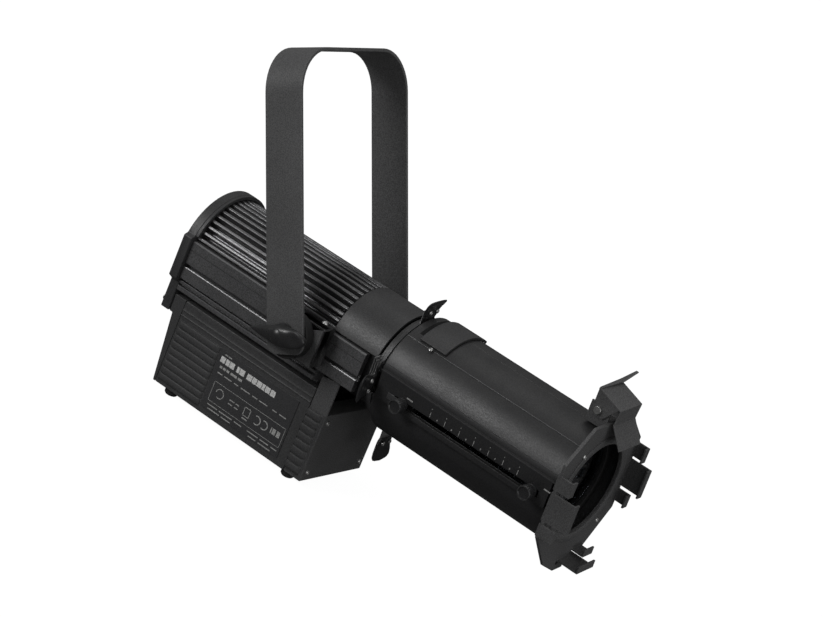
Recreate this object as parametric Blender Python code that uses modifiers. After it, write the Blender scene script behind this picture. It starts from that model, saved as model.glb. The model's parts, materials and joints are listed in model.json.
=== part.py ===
"""Ellipsoidal spotlight: a finned LED lamp house on a driver housing, a rotating lens barrel with
framing shutters, zoom and focus carriages and a colour frame holder, hung in a flat bar yoke.

Metres, +Z up. The lens faces -Y and the optical axis is level. The four rubber feet stand on z = 0,
and the origin is under the middle of the whole object's box.
"""
import math

import bmesh
import bpy

MM = 0.001
GAP = 0.3 * MM

# Lamp house. Distances along the optical axis count backwards (+Y) from the datum, which lies
# just ahead of the driver housing; heights count from the optical axis.
AXIS_TO_BASE = 123.3 * MM
FOOT_H = 6.7 * MM
FOOT_R = 6.5 * MM
FOOT_X = 36.0 * MM
FOOT_INSET = 14.0 * MM
BODY_HALF_W = 46.5 * MM
BODY_LENGTH = 163.0 * MM
BODY_FRONT = 18.3 * MM
DOME_R = 48.3 * MM
DOME_RISE = 2.3 * MM
DOME_HALF_DEG = 77.0
FIN_HALF_DEG = 75.0
FIN_COUNT = 20
FIN_DEPTH = 9.0 * MM
FIN_TIP_SHARE = 0.45
TUNNEL_R = 30.0 * MM
TUNNEL_WALL = 5.0 * MM
SINK_HALF_W = 44.0 * MM
SINK_BOTTOM = -41.2 * MM
SINK_FOOT_HALF_W = 38.0 * MM

# Side rails that the pivot blocks bolt to.
RAIL_OUT = 50.5 * MM
RAIL_TOP = 11.7 * MM
RAIL_BOTTOM = -25.0 * MM
RAIL_GROOVE_TOP = -10.3 * MM
RAIL_GROOVE_H = 3.0 * MM
RAIL_GROOVE_DEPTH = 5.0 * MM
RAIL_FRONT = -22.0 * MM
LOWER_RAIL_OUT = 48.5 * MM
LOWER_RAIL_TOP = -29.0 * MM
LOWER_RAIL_BOTTOM = -37.0 * MM

# Smooth cover over the gate end of the lamp house.
COVER_WALL = 2.5 * MM
COVER_FRONT = -31.0 * MM

# Driver housing under the lamp house.
BASE_TOP = -41.5 * MM
BASE_WALL = 2.5 * MM
BASE_FRONT = -7.5 * MM
BASE_JOINT = 12.0 * MM
BASE_REAR = BODY_FRONT + BODY_LENGTH - 13.3 * MM
SHELF_Z = -58.0 * MM
WING_TOP_FRONT = -25.6 * MM
WING_TOP_REAR = -28.5 * MM
PANEL_FOOT = BASE_REAR + 3.0 * MM
PANEL_HEAD = BASE_REAR + 10.0 * MM
PLATE_REAR = BASE_REAR - 54.0 * MM
PLATE_FRONT = 22.0 * MM
PLATE_TOP = -60.0 * MM
PLATE_BOTTOM = -117.0 * MM
PLATE_T = 0.6 * MM

# Rear end cap.
CAP_T = 9.5 * MM
CAP_R = 52.3 * MM
CAP_EAR_OUT = 54.6 * MM
CAP_EAR_TOP = 14.0 * MM
CAP_EAR_BOTTOM = -26.0 * MM
CAP_BOTTOM = -58.0 * MM

# Yoke and its pivots.
PIVOT_Y = 41.0 * MM
PIVOT_Z = -1.5 * MM
YOKE_OUT = 81.6 * MM
YOKE_T = 3.0 * MM
YOKE_W = 37.4 * MM
YOKE_REACH = 242.0 * MM
YOKE_BEND_R = 38.0 * MM
YOKE_END = 17.0 * MM
YOKE_END_R = 9.0 * MM
YOKE_LEAN_DEG = 26.4
CLAMP_HOLE_R = 6.3 * MM
BLOCK_OUT = 68.0 * MM
BLOCK_HALF_L = 27.0 * MM
BLOCK_TOP = 16.5 * MM
BLOCK_BOTTOM = -21.0 * MM
FRICTION_R = 21.0 * MM
STUD_R = 4.0 * MM
STUD_CLEAR = 0.4 * MM
STUD_DEPTH = 12.0 * MM
KNOB_HUB_R = 10.0 * MM
KNOB_H = 15.0 * MM
WING_HALF_L = 28.5 * MM
WING_T = 9.0 * MM
WING_LIFT = 3.0 * MM
WING_TURN_DEG = 13.0

# Lens barrel.
BARREL_ROLL_DEG = 6.0
BARREL_R = 55.0 * MM
BARREL_WALL = 4.0 * MM
BARREL_LENGTH = 189.0 * MM

# Gate: the fixed drum, and the shutter cassette that turns with the barrel.
DRUM_R = 43.5 * MM
DRUM_BORE_R = 33.0 * MM
DRUM_FRONT = -33.0 * MM
DRUM_REAR = 11.0 * MM
FLANGE_R = 49.0 * MM
FLANGE_T = 3.0 * MM
CASSETTE_R = BARREL_R - 4.6 * MM
CASSETTE_STEP = 1.2 * MM
CASSETTE_STEP_L = 1.8 * MM
CASSETTE_WALL = 2.0 * MM
CASSETTE_PLATE_T = 1.7 * MM
BLADE_T = 0.45 * MM
BLADE_COUNT = 4
APERTURE_R = 18.0 * MM
BLADE_HALF_W = 24.0 * MM
BLADE_SHOULDER = 21.5 * MM
TANG_HALF_W = 10.0 * MM
TANG_END = CASSETTE_R + 11.6 * MM
GRIP_T = 5.0 * MM
GRIP_INNER = CASSETTE_R + 5.6 * MM
GRIP_H = 23.0 * MM
GRIP_HALF_W = 12.5 * MM
PULLED_OUT = {"top": 0.0, "left": 0.0, "bottom": 10.0 * MM, "right": 0.0}
CASSETTE_COVER_T = 1.5 * MM

# Scale track and saddle on the barrel.
TRACK_FACE = BARREL_R + 1.1 * MM
TRACK_SEAT = BARREL_R - 3.0 * MM
TRACK_TOP = 17.5 * MM
TRACK_BOTTOM = -8.0 * MM
SLOT_HALF_H = 3.2 * MM
SLOT_MARGIN = 24.0 * MM
SLOT_REAR_END = 22.0 * MM
SADDLE_REAR = 12.0 * MM
SADDLE_LENGTH = 28.0 * MM
SADDLE_HALF_DEG = 33.0
SADDLE_T = 2.4 * MM

# Zoom and focus carriages, which slide in the barrel.
CARRIAGE_L = 16.0 * MM
CARRIAGE_WALL = 8.0 * MM
ZOOM_FROM_REAR = 31.0 * MM
FOCUS_FROM_FRONT = 19.0 * MM
LENS_EDGE = 4.0 * MM
LENS_CROWN = 7.0 * MM
THUMB_R = 6.6 * MM
THUMB_L = 11.0 * MM
THUMB_STUD_R = 2.5 * MM
THUMB_STUD_DEPTH = 5.0 * MM
THUMB_CLEAR = 0.4 * MM

# Colour frame holder on the nose of the barrel.
HOLDER_T = 3.0 * MM
HOLDER_HALF_W = BARREL_R + 2.5 * MM
HOLDER_RIGHT = HOLDER_HALF_W + 1.8 * MM
HOLDER_SIDE_TOP = 37.0 * MM
HOLDER_SIDE_BOTTOM = -33.0 * MM
HOLDER_TOP = BARREL_R + 10.0 * MM
HOLDER_TOP_HALF = 29.0 * MM
HOLDER_BOTTOM = -(BARREL_R + 14.0 * MM)
HOLDER_BOTTOM_HALF = 27.0 * MM
HOLDER_EAR = 11.0 * MM
HOLDER_BORE_R = 43.3 * MM
TAB_T = 1.8 * MM
TAB_LIP = 7.0 * MM
SHORT_TAB_DEPTH = 12.0 * MM
LONG_TAB_DEPTH = 21.0 * MM
SIDE_TABS = (
    ("upper", 12.5 * MM, 26.5 * MM, SHORT_TAB_DEPTH),
    ("middle", -17.0 * MM, 10.0 * MM, LONG_TAB_DEPTH),
    ("lower", -32.0 * MM, -20.0 * MM, SHORT_TAB_DEPTH),
)
TAB_LIFT = 6.0 * MM
SHORT_TAB_X = 14.0 * MM

# Latch over the open top of the holder.
LATCH_X = 7.0 * MM
LATCH_HALF_W = 17.0 * MM
LATCH_T = 1.2 * MM
BRACKET_T = 1.6 * MM
LATCH_AXIS_Y = 14.5 * MM
LATCH_AXIS_Z = BARREL_R + 16.0 * MM
LATCH_PIN_R = 2.0 * MM

# Lamp, driver and rear fittings.
LED_PLATE_T = 6.0 * MM
LED_R = 12.0 * MM
LED_T = 3.0 * MM
LED_SETBACK = 6.0 * MM
CONDENSER_R = 28.0 * MM
CONDENSER_T = 12.0 * MM
BOARD_T = 1.6 * MM
BOARD_LIFT = 9.0 * MM
BOARD_MARGIN = 5.0 * MM
DRIVER_H = 33.0 * MM
BUTTON_R = 3.6 * MM
BUTTON_PITCH = 12.0 * MM
BUTTON_ROW_Z = -6.0 * MM
BUTTON_PROUD = 2.2 * MM
BUTTON_L = 6.0 * MM
WINDOW_W = 44.0 * MM
WINDOW_H = 16.0 * MM
WINDOW_T = 1.2 * MM
WINDOW_Z = 13.0 * MM
SOCKET_R = 7.5 * MM
SOCKET_L = 8.0 * MM
SOCKET_PITCH = 17.0 * MM
LUG_T = 4.0 * MM
LUG_R = 8.0 * MM
LUG_HOLE_R = 4.5 * MM
LUG_Z = 34.0 * MM

# Places that follow from the sizes above.
BODY_REAR = BODY_FRONT + BODY_LENGTH
CAP_REAR = BODY_REAR + CAP_T
CASSETTE_REAR = DRUM_FRONT - FLANGE_T - GAP
CASSETTE_FRONT = CASSETTE_REAR - CASSETTE_PLATE_T - BLADE_COUNT * (BLADE_T + GAP) - GAP
COVER_RING_FRONT = CASSETTE_FRONT - GAP - CASSETTE_COVER_T
BARREL_REAR = COVER_RING_FRONT - GAP
BARREL_FRONT = BARREL_REAR - BARREL_LENGTH
HOLDER_REAR = BARREL_FRONT - GAP
HOLDER_FRONT = HOLDER_REAR - HOLDER_T
ZOOM_Y = BARREL_REAR - ZOOM_FROM_REAR
FOCUS_Y = BARREL_FRONT + FOCUS_FROM_FRONT
CARRIAGE_R = BARREL_R - BARREL_WALL - GAP
LENS_R = CARRIAGE_R - CARRIAGE_WALL - GAP
LUG_REAR = CAP_REAR + GAP + 2 * LUG_R
NOSE = HOLDER_FRONT - LONG_TAB_DEPTH
AXIS_Z = AXIS_TO_BASE + FOOT_H
DATUM_Y = -(NOSE + LUG_REAR) / 2

BLACK = (0.022, 0.022, 0.023)
FINISHES = {
    "black_paint": (BLACK, 0.55, 0.0),
    "black_anodised": ((0.03, 0.03, 0.032), 0.4, 0.6),
    "black_plastic": ((0.02, 0.02, 0.02), 0.42, 0.0),
    "rubber": ((0.015, 0.015, 0.015), 0.8, 0.0),
    "steel": ((0.62, 0.62, 0.62), 0.3, 1.0),
    "glass": ((0.9, 0.93, 0.95), 0.05, 0.0),
    "bare_aluminium": ((0.7, 0.7, 0.72), 0.4, 1.0),
    "circuit_board": ((0.05, 0.2, 0.1), 0.5, 0.0),
    "led_yellow": ((0.85, 0.7, 0.2), 0.5, 0.0),
}


def collection(name):
    """A collection linked to the scene, made on first use."""
    if name not in bpy.data.collections:
        bpy.context.scene.collection.children.link(bpy.data.collections.new(name))
    return bpy.data.collections[name]


def material(name):
    """The Principled material of one finish."""
    if name in bpy.data.materials:
        return bpy.data.materials[name]
    colour, roughness, metallic = FINISHES[name]
    made = bpy.data.materials.new(name)
    made.use_nodes = True
    shader = made.node_tree.nodes["Principled BSDF"]
    shader.inputs["Base Color"].default_value = (*colour, 1)
    shader.inputs["Roughness"].default_value = roughness
    shader.inputs["Metallic"].default_value = metallic
    made.diffuse_color = (*colour, 1)
    return made


def empty(name, at, turn=(0, 0, 0)):
    """A frame that pieces are parented to; turn is in degrees."""
    made = bpy.data.objects.new(name, None)
    made.location = at
    made.rotation_euler = [math.radians(a) for a in turn]
    collection("spotlight").objects.link(made)
    return made


def place(piece, frame, finish, at=(0, 0, 0), turn=(0, 0, 0)):
    """Puts a new piece in its frame and gives it its finish."""
    collection("spotlight").objects.link(piece)
    piece.parent = frame
    piece.location = at
    piece.rotation_euler = [math.radians(a) for a in turn]
    piece.data.materials.append(material(finish))
    return piece


def box(name, frame, finish, low, high, round_edge=0.0):
    """A box between two corners, with bevelled edges if asked."""
    bm = bmesh.new()
    bmesh.ops.create_cube(bm, size=1)
    size = [b - a for a, b in zip(low, high)]
    bmesh.ops.scale(bm, vec=size, verts=bm.verts)
    mesh = bpy.data.meshes.new(name)
    bm.to_mesh(mesh)
    bm.free()
    middle = [(a + b) / 2 for a, b in zip(low, high)]
    piece = place(bpy.data.objects.new(name, mesh), frame, finish, middle)
    if round_edge:
        bevel = piece.modifiers.new("edges", "BEVEL")
        bevel.width = round_edge
        bevel.segments = 2
    return piece


FACING = {"front": (90, 0, 0), "rear": (-90, 0, 0), "left": (0, -90, 0), "right": (0, 90, 0), "up": (0, 0, 0)}


def turned(name, frame, finish, profile, facing, at=(0, 0, 0), steps=40, ring=False):
    """A profile of (radius, distance) points turned about an axis. The outer side runs from far
    to near; a ring's profile is closed, and any other starts and ends on the axis."""
    mesh = bpy.data.meshes.new(name)
    edges = [(i, i + 1) for i in range(len(profile) - 1)]
    if ring:
        edges.append((len(profile) - 1, 0))
    mesh.from_pydata([(r, 0, d) for r, d in profile], edges, [])
    piece = place(bpy.data.objects.new(name, mesh), frame, finish, at, FACING[facing])
    screw = piece.modifiers.new("turned", "SCREW")
    screw.steps = steps
    screw.render_steps = steps
    screw.use_merge_vertices = True
    screw.merge_threshold = 0.00001
    screw.use_smooth_shade = True
    return piece


def spot(centre, radius, deg):
    """The point at a radius from the centre, its angle anticlockwise from the first axis."""
    turn = math.radians(deg)
    return (centre[0] + radius * math.cos(turn), centre[1] + radius * math.sin(turn))


def arc(centre, radius, start_deg, end_deg, count):
    """Evenly spaced points along an arc."""
    step = (end_deg - start_deg) / (count - 1)
    return [spot(centre, radius, start_deg + step * i) for i in range(count)]


SHEET = {"cross": (90, 0, 0), "side": (90, 0, 90), "level": (0, 0, 0)}


def flat(name, frame, finish, loops, plane, low, high):
    """A flat outline, with holes as further loops, given thickness between two distances. The
    cross plane holds (x, z) and is measured forwards, side holds (y, z) and is measured along x,
    and level holds (x, y)."""
    curve = bpy.data.curves.new(name, "CURVE")
    curve.dimensions = "2D"
    curve.fill_mode = "BOTH"
    curve.extrude = (high - low) / 2
    for loop in loops:
        spline = curve.splines.new("POLY")
        spline.points.add(len(loop) - 1)
        for point, (u, v) in zip(spline.points, loop):
            point.co = (u, v, 0, 1)
        spline.use_cyclic_u = True
    middle = (low + high) / 2
    at = {"cross": (0, -middle, 0), "side": (middle, 0, 0), "level": (0, 0, middle)}[plane]
    return place(bpy.data.objects.new(name, curve), frame, finish, at, SHEET[plane])


def as_mesh(piece):
    """Turns a curve piece into a welded mesh piece of the same name, ready for cuts."""
    name = piece.name
    bpy.context.view_layer.update()
    seen = piece.evaluated_get(bpy.context.evaluated_depsgraph_get())
    mesh = bpy.data.meshes.new_from_object(seen)
    bm = bmesh.new()
    bm.from_mesh(mesh)
    bmesh.ops.remove_doubles(bm, verts=bm.verts, dist=0.000001)
    bm.to_mesh(mesh)
    bm.free()
    made = bpy.data.objects.new("new_" + name, mesh)
    collection("spotlight").objects.link(made)
    made.matrix_world = piece.matrix_world
    bpy.data.objects.remove(piece)
    made.name = name
    return made


def combine(piece, tools, how):
    """Adds (UNION) or cuts (DIFFERENCE) the tools, which then stay as hidden guides."""
    for tool in tools:
        if tool.type == "CURVE":
            tool = as_mesh(tool)
        for group in list(tool.users_collection):
            group.objects.unlink(tool)
        collection("cutters").objects.link(tool)
        tool.hide_render = True
        tool.display_type = "WIRE"
        step = piece.modifiers.new(how.lower() + "_" + tool.name, "BOOLEAN")
        step.operation = how
        step.object = tool
    return piece


def ring_profile(inner, outer, rear, front):
    """Closed profile of a plain ring, measured forwards from the frame."""
    return [(outer, front), (outer, rear), (inner, rear), (inner, front)]


def mirrored(loop):
    """The same outline on the other side of the middle plane."""
    return [(-u, v) for u, v in reversed(loop)]


# ---------------------------------------------------------------- lamp house
def lamp_house(house):
    """Finned heat sink, side rails, gate cover, rear cap and the fixed gate drum."""
    fins = []
    pitch = 2 * FIN_HALF_DEG / (FIN_COUNT - 1)
    root_r = DOME_R - FIN_DEPTH
    for i in range(FIN_COUNT):
        middle = 90 - FIN_HALF_DEG + pitch * i
        half = pitch * FIN_TIP_SHARE / 2
        centre = (0, DOME_RISE)
        fins.append(spot(centre, root_r, middle - half * 1.3))
        fins += arc(centre, DOME_R, middle - half, middle + half, 2)
        fins.append(spot(centre, root_r, middle + half * 1.3))
    side = [
        (SINK_FOOT_HALF_W, SINK_BOTTOM),
        (SINK_FOOT_HALF_W, LOWER_RAIL_BOTTOM),
        (LOWER_RAIL_OUT, LOWER_RAIL_BOTTOM),
        (LOWER_RAIL_OUT, LOWER_RAIL_TOP),
        (SINK_HALF_W, LOWER_RAIL_TOP),
        (SINK_HALF_W, DOME_RISE + GAP),
        (root_r, DOME_RISE + GAP),
    ]
    outline = side + fins + mirrored(side)
    tunnel_floor = SINK_BOTTOM + TUNNEL_WALL
    tunnel = [(TUNNEL_R, tunnel_floor)] + arc((0, 0), TUNNEL_R, 0, 180, 25) + [(-TUNNEL_R, tunnel_floor)]
    flat("heat_sink", house, "black_anodised", [outline, tunnel], "cross", -BODY_REAR, -BODY_FRONT - GAP)

    rail = [
        (SINK_HALF_W + GAP, RAIL_BOTTOM),
        (RAIL_OUT, RAIL_BOTTOM),
        (RAIL_OUT, RAIL_GROOVE_TOP - RAIL_GROOVE_H),
        (RAIL_OUT - RAIL_GROOVE_DEPTH, RAIL_GROOVE_TOP - RAIL_GROOVE_H),
        (RAIL_OUT - RAIL_GROOVE_DEPTH, RAIL_GROOVE_TOP),
        (RAIL_OUT, RAIL_GROOVE_TOP),
        (RAIL_OUT, RAIL_TOP),
        (SINK_HALF_W + GAP, RAIL_TOP),
    ]
    flat("side_rail_right", house, "black_anodised", [rail], "cross", -BODY_REAR, -RAIL_FRONT)
    flat("side_rail_left", house, "black_anodised", [mirrored(rail)], "cross", -BODY_REAR, -RAIL_FRONT)

    centre = (0, DOME_RISE)
    low_deg = 90 - DOME_HALF_DEG
    shell = arc(centre, DOME_R, low_deg, 180 - low_deg, 37)
    shell += arc(centre, DOME_R - COVER_WALL, 180 - low_deg, low_deg, 37)
    flat("gate_cover", house, "black_paint", [shell], "cross", -BODY_FRONT, -COVER_FRONT)

    cap = [(BODY_HALF_W + 2 * MM, CAP_BOTTOM), (BODY_HALF_W + 2 * MM, CAP_EAR_BOTTOM - 4 * MM)]
    cap += [(CAP_EAR_OUT, CAP_EAR_BOTTOM), (CAP_EAR_OUT, CAP_EAR_TOP)]
    start = math.degrees(math.asin((CAP_EAR_TOP + 2 * MM - DOME_RISE) / CAP_R))
    half_rim = arc(centre, CAP_R, start, 90, 14)
    rim = half_rim + [(-x, z) for x, z in reversed(half_rim[:-1])]
    cap_plate = flat("rear_cap", house, "black_paint", [cap + rim + mirrored(cap)], "cross",
                     -CAP_REAR, -BODY_REAR - GAP)
    cap_plate = as_mesh(cap_plate)
    holes = []
    for i in range(4):
        x = (i - 1.5) * BUTTON_PITCH
        hole_r = BUTTON_R + THUMB_CLEAR
        bore = [(0, 20 * MM), (hole_r, 20 * MM), (hole_r, -20 * MM), (0, -20 * MM)]
        hole = turned(f"cut_button_{i + 1}", house, "rubber", bore, "front", (x, CAP_REAR, BUTTON_ROW_Z), 20)
        holes.append(hole)
    combine(cap_plate, holes, "DIFFERENCE")

    drum = [
        (FLANGE_R, -DRUM_FRONT + FLANGE_T),
        (FLANGE_R, -DRUM_FRONT),
        (DRUM_R, -DRUM_FRONT),
        (DRUM_R, -DRUM_REAR),
        (DRUM_BORE_R, -DRUM_REAR),
        (DRUM_BORE_R, -DRUM_FRONT + FLANGE_T),
    ]
    turned("gate_drum", house, "black_paint", drum, "front", steps=48, ring=True)


def driver_housing(house):
    """The box under the lamp house, its front casting, rear panel, rating plate and feet."""
    wall = BASE_WALL
    outer = [(-BODY_HALF_W, -AXIS_TO_BASE), (BODY_HALF_W, -AXIS_TO_BASE),
             (BODY_HALF_W, BASE_TOP), (-BODY_HALF_W, BASE_TOP)]
    inner = [(-BODY_HALF_W + wall, -AXIS_TO_BASE + wall), (BODY_HALF_W - wall, -AXIS_TO_BASE + wall),
             (BODY_HALF_W - wall, BASE_TOP - wall), (-BODY_HALF_W + wall, BASE_TOP - wall)]
    flat("driver_housing", house, "black_paint", [outer, inner], "cross", -BASE_REAR, -BASE_JOINT)

    side = [(BASE_FRONT, -AXIS_TO_BASE), (BASE_JOINT - GAP, -AXIS_TO_BASE),
            (BASE_JOINT - GAP, WING_TOP_REAR), (BASE_FRONT, WING_TOP_FRONT)]
    casting = flat("front_casting", house, "black_paint", [side], "side", -BODY_HALF_W, BODY_HALF_W)
    casting = as_mesh(casting)
    inside = BODY_HALF_W - wall
    rearward = BASE_JOINT + 20 * MM
    cavity = box("cut_cavity", house, "rubber", (-inside, BASE_FRONT + wall, -AXIS_TO_BASE + wall),
                 (inside, rearward, SHELF_Z - wall))
    saddle = box("cut_saddle", house, "rubber", (-inside, BASE_FRONT - 20 * MM, SHELF_Z),
                 (inside, rearward, 20 * MM))
    combine(casting, [cavity, saddle], "DIFFERENCE")

    wedge = [(BASE_REAR + GAP, -AXIS_TO_BASE), (PANEL_FOOT, -AXIS_TO_BASE), (PANEL_HEAD, CAP_BOTTOM - GAP),
             (BODY_REAR, CAP_BOTTOM - GAP), (BODY_REAR, BASE_TOP), (BASE_REAR + GAP, BASE_TOP)]
    flat("rear_panel", house, "black_paint", [wedge], "side", -BODY_HALF_W, BODY_HALF_W)

    plate_x = -BODY_HALF_W - GAP
    box("rating_plate", house, "black_plastic", (plate_x - PLATE_T, PLATE_FRONT, PLATE_BOTTOM),
        (plate_x, PLATE_REAR, PLATE_TOP))

    pad = [(0, -GAP), (FOOT_R * 0.75, -GAP), (FOOT_R, -2 * MM), (FOOT_R, -FOOT_H + 1.5 * MM),
           (FOOT_R * 0.8, -FOOT_H), (0, -FOOT_H)]
    for end, y in (("front", BASE_JOINT), ("rear", BASE_REAR - FOOT_INSET)):
        for hand, x in (("left", -FOOT_X), ("right", FOOT_X)):
            turned(f"foot_{end}_{hand}", house, "rubber", pad, "up", (x, y, -AXIS_TO_BASE), 20)

    floor = -AXIS_TO_BASE + wall + BOARD_LIFT
    half = BODY_HALF_W - wall - BOARD_MARGIN
    board_front = BASE_JOINT + BOARD_MARGIN
    board_rear = BASE_REAR - BOARD_MARGIN
    box("driver_board", house, "circuit_board", (-half, board_front, floor),
        (half, board_rear, floor + BOARD_T))
    box("driver_can", house, "bare_aluminium",
        (-half + BOARD_MARGIN, board_front + BOARD_MARGIN, floor + BOARD_T + GAP),
        (half - BOARD_MARGIN, board_rear - 4 * BOARD_MARGIN, floor + BOARD_T + DRIVER_H))


def lamp(house):
    """The LED on its heat spreader, and the condenser that fills the gate."""
    plate_front = BODY_FRONT + LED_SETBACK
    led_plate = [(0, -plate_front), (TUNNEL_R - GAP, -plate_front),
                 (TUNNEL_R - GAP, -plate_front - LED_PLATE_T), (0, -plate_front - LED_PLATE_T)]
    turned("led_heat_spreader", house, "bare_aluminium", led_plate, "front")
    led_rear = plate_front - GAP
    led = [(0, -led_rear + LED_T), (LED_R, -led_rear + LED_T), (LED_R, -led_rear), (0, -led_rear)]
    turned("led_module", house, "led_yellow", led, "front", steps=32)
    rear = DRUM_REAR - BOARD_MARGIN
    dome = [(CONDENSER_R * math.sin(t), -rear + LENS_EDGE + (CONDENSER_T - LENS_EDGE) * math.cos(t))
            for t in (i * math.pi / 14 for i in range(8))]
    turned("condenser_lens", house, "glass", dome + [(CONDENSER_R, -rear), (0, -rear)], "front")


def rear_fittings(house):
    """Display window, buttons and safety lug on the cap; sockets on the sloping panel."""
    face = CAP_REAR + GAP
    box("display_window", house, "black_plastic", (-WINDOW_W / 2, face, WINDOW_Z - WINDOW_H / 2),
        (WINDOW_W / 2, face + WINDOW_T, WINDOW_Z + WINDOW_H / 2))
    cap = [(0, BUTTON_PROUD), (BUTTON_R * 0.8, BUTTON_PROUD), (BUTTON_R, BUTTON_PROUD - 0.7 * MM),
           (BUTTON_R, BUTTON_PROUD - BUTTON_L), (0, BUTTON_PROUD - BUTTON_L)]
    for i, name in enumerate(("menu", "down", "up", "enter")):
        x = (i - 1.5) * BUTTON_PITCH
        turned(f"button_{name}", house, "rubber", cap, "rear", (x, CAP_REAR, BUTTON_ROW_Z), 20)
    ring_y = face + LUG_R
    lug = [(face, LUG_Z - LUG_R)] + arc((ring_y, LUG_Z), LUG_R, -90, 90, 11) + [(face, LUG_Z + LUG_R)]
    eye = arc((ring_y, LUG_Z), LUG_HOLE_R, 0, 337.5, 16)
    flat("safety_lug", house, "steel", [lug, eye], "side", -LUG_T / 2, LUG_T / 2)

    slope = math.degrees(math.atan2(PANEL_HEAD - PANEL_FOOT, AXIS_TO_BASE + CAP_BOTTOM))
    middle = (0, (PANEL_FOOT + PANEL_HEAD) / 2, (CAP_BOTTOM - AXIS_TO_BASE) / 2)
    panel = empty("panel_frame", middle, (-slope, 0, 0))
    panel.parent = house
    socket = [
        (0, 1.2 * MM), (SOCKET_R * 0.62, 1.2 * MM), (SOCKET_R * 0.62, SOCKET_L), (SOCKET_R * 0.85, SOCKET_L),
        (SOCKET_R * 0.85, 2.5 * MM), (SOCKET_R, 2.5 * MM), (SOCKET_R, GAP), (0, GAP),
    ]
    for i, name in enumerate(("power_inlet", "power_outlet", "data_inlet", "data_outlet")):
        turned(name, panel, "black_plastic", socket, "rear", ((i - 1.5) * SOCKET_PITCH, 0, 0), 28)


# ---------------------------------------------------------------- yoke
def wing_loop(y, z, turn_deg):
    """Outline of two blunt tapered wings about a pivot at (y, z), the front one turned up."""
    root = KNOB_HUB_R * 0.8
    tip = KNOB_HUB_R * 0.35
    rear = [(root, -root)] + arc((WING_HALF_L - tip, 0), tip, -70, 70, 6) + [(root, root)]
    level = rear + [(-u, -v) for u, v in rear]
    c, s = math.cos(math.radians(turn_deg)), math.sin(math.radians(turn_deg))
    return [(y + u * c + v * s, z - u * s + v * c) for u, v in level]


def yoke_and_pivots(house, yoke):
    """Flat bar yoke, and on each side the block, friction disc and wing knob that clamp it."""
    inner_r = YOKE_BEND_R - YOKE_T
    corner = YOKE_OUT - YOKE_BEND_R
    top = YOKE_REACH - YOKE_BEND_R
    outside = [(YOKE_OUT, -YOKE_END)] + arc((corner, top), YOKE_BEND_R, 0, 90, 13)
    inside = arc((corner, top), inner_r, 90, 0, 13) + [(YOKE_OUT - YOKE_T, -YOKE_END)]
    bar = outside + [(-x, z) for x, z in reversed(outside)] + [(-x, z) for x, z in reversed(inside)] + inside
    hoop = as_mesh(flat("yoke", yoke, "black_paint", [bar], "cross", -YOKE_W / 2, YOKE_W / 2))
    reach = YOKE_OUT + 10 * MM
    hole = STUD_R + STUD_CLEAR
    bore = turned("cut_yoke_pivots", yoke, "rubber", [(0, reach), (hole, reach), (hole, -reach), (0, -reach)],
                  "right", steps=24)
    far = YOKE_REACH + 10 * MM
    near = YOKE_REACH - 20 * MM
    clamp = turned("cut_clamp_hole", yoke, "rubber",
                   [(0, far), (CLAMP_HOLE_R, far), (CLAMP_HOLE_R, near), (0, near)], "up", steps=28)
    ends = []
    half = YOKE_W / 2
    low = -YOKE_END
    for name, sign in (("front", -1), ("rear", 1)):
        middle = (sign * (half - YOKE_END_R), low + YOKE_END_R)
        past = sign * (half + 5 * MM)
        round_end = arc(middle, YOKE_END_R, -90, 0 if sign > 0 else -180, 7)
        loop = round_end + [(past, middle[1]), (past, low - 5 * MM), (middle[0], low - 5 * MM)]
        ends.append(flat(f"cut_leg_{name}", yoke, "rubber", [loop], "side", -reach, reach))
    combine(hoop, [bore, clamp] + ends, "DIFFERENCE")

    pivot = (PIVOT_Y, PIVOT_Z)
    for hand, sign, facing in (("left", -1, "left"), ("right", 1, "right")):
        near_x = sign * (RAIL_OUT + GAP)
        far_x = sign * BLOCK_OUT
        block = box(f"pivot_block_{hand}", house, "black_paint",
                    (min(near_x, far_x), pivot[0] - BLOCK_HALF_L, BLOCK_BOTTOM),
                    (max(near_x, far_x), pivot[0] + BLOCK_HALF_L, BLOCK_TOP), 1.2 * MM)
        at = (0, pivot[0], pivot[1])
        deep = BLOCK_OUT - STUD_DEPTH - 1 * MM
        socket = [(0, BLOCK_OUT + 10 * MM), (hole, BLOCK_OUT + 10 * MM), (hole, deep), (0, deep)]
        combine(block, [turned(f"cut_block_{hand}", house, "rubber", socket, facing, at, 24)], "DIFFERENCE")
        disc_out = YOKE_OUT - YOKE_T - GAP
        disc = ring_profile(hole, FRICTION_R, BLOCK_OUT + GAP, disc_out)
        turned(f"friction_disc_{hand}", house, "black_plastic", disc, facing, at, 40, ring=True)

        knob_base = YOKE_OUT + GAP
        crown = knob_base + KNOB_H
        hub = [
            (0, crown), (KNOB_HUB_R * 0.45, crown - 0.6 * MM), (KNOB_HUB_R * 0.8, crown - 2.6 * MM),
            (KNOB_HUB_R, crown - 7 * MM), (KNOB_HUB_R, knob_base), (STUD_R, knob_base),
            (STUD_R, BLOCK_OUT - STUD_DEPTH), (0, BLOCK_OUT - STUD_DEPTH),
        ]
        knob = turned(f"wing_knob_{hand}", house, "black_plastic", hub, facing, at, 32)
        low_x = sign * (knob_base + WING_LIFT)
        high_x = sign * (knob_base + WING_LIFT + WING_T)
        wings = flat(f"tool_wings_{hand}", house, "black_plastic", [wing_loop(*pivot, WING_TURN_DEG)], "side",
                     min(low_x, high_x), max(low_x, high_x))
        combine(knob, [wings], "UNION")


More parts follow.
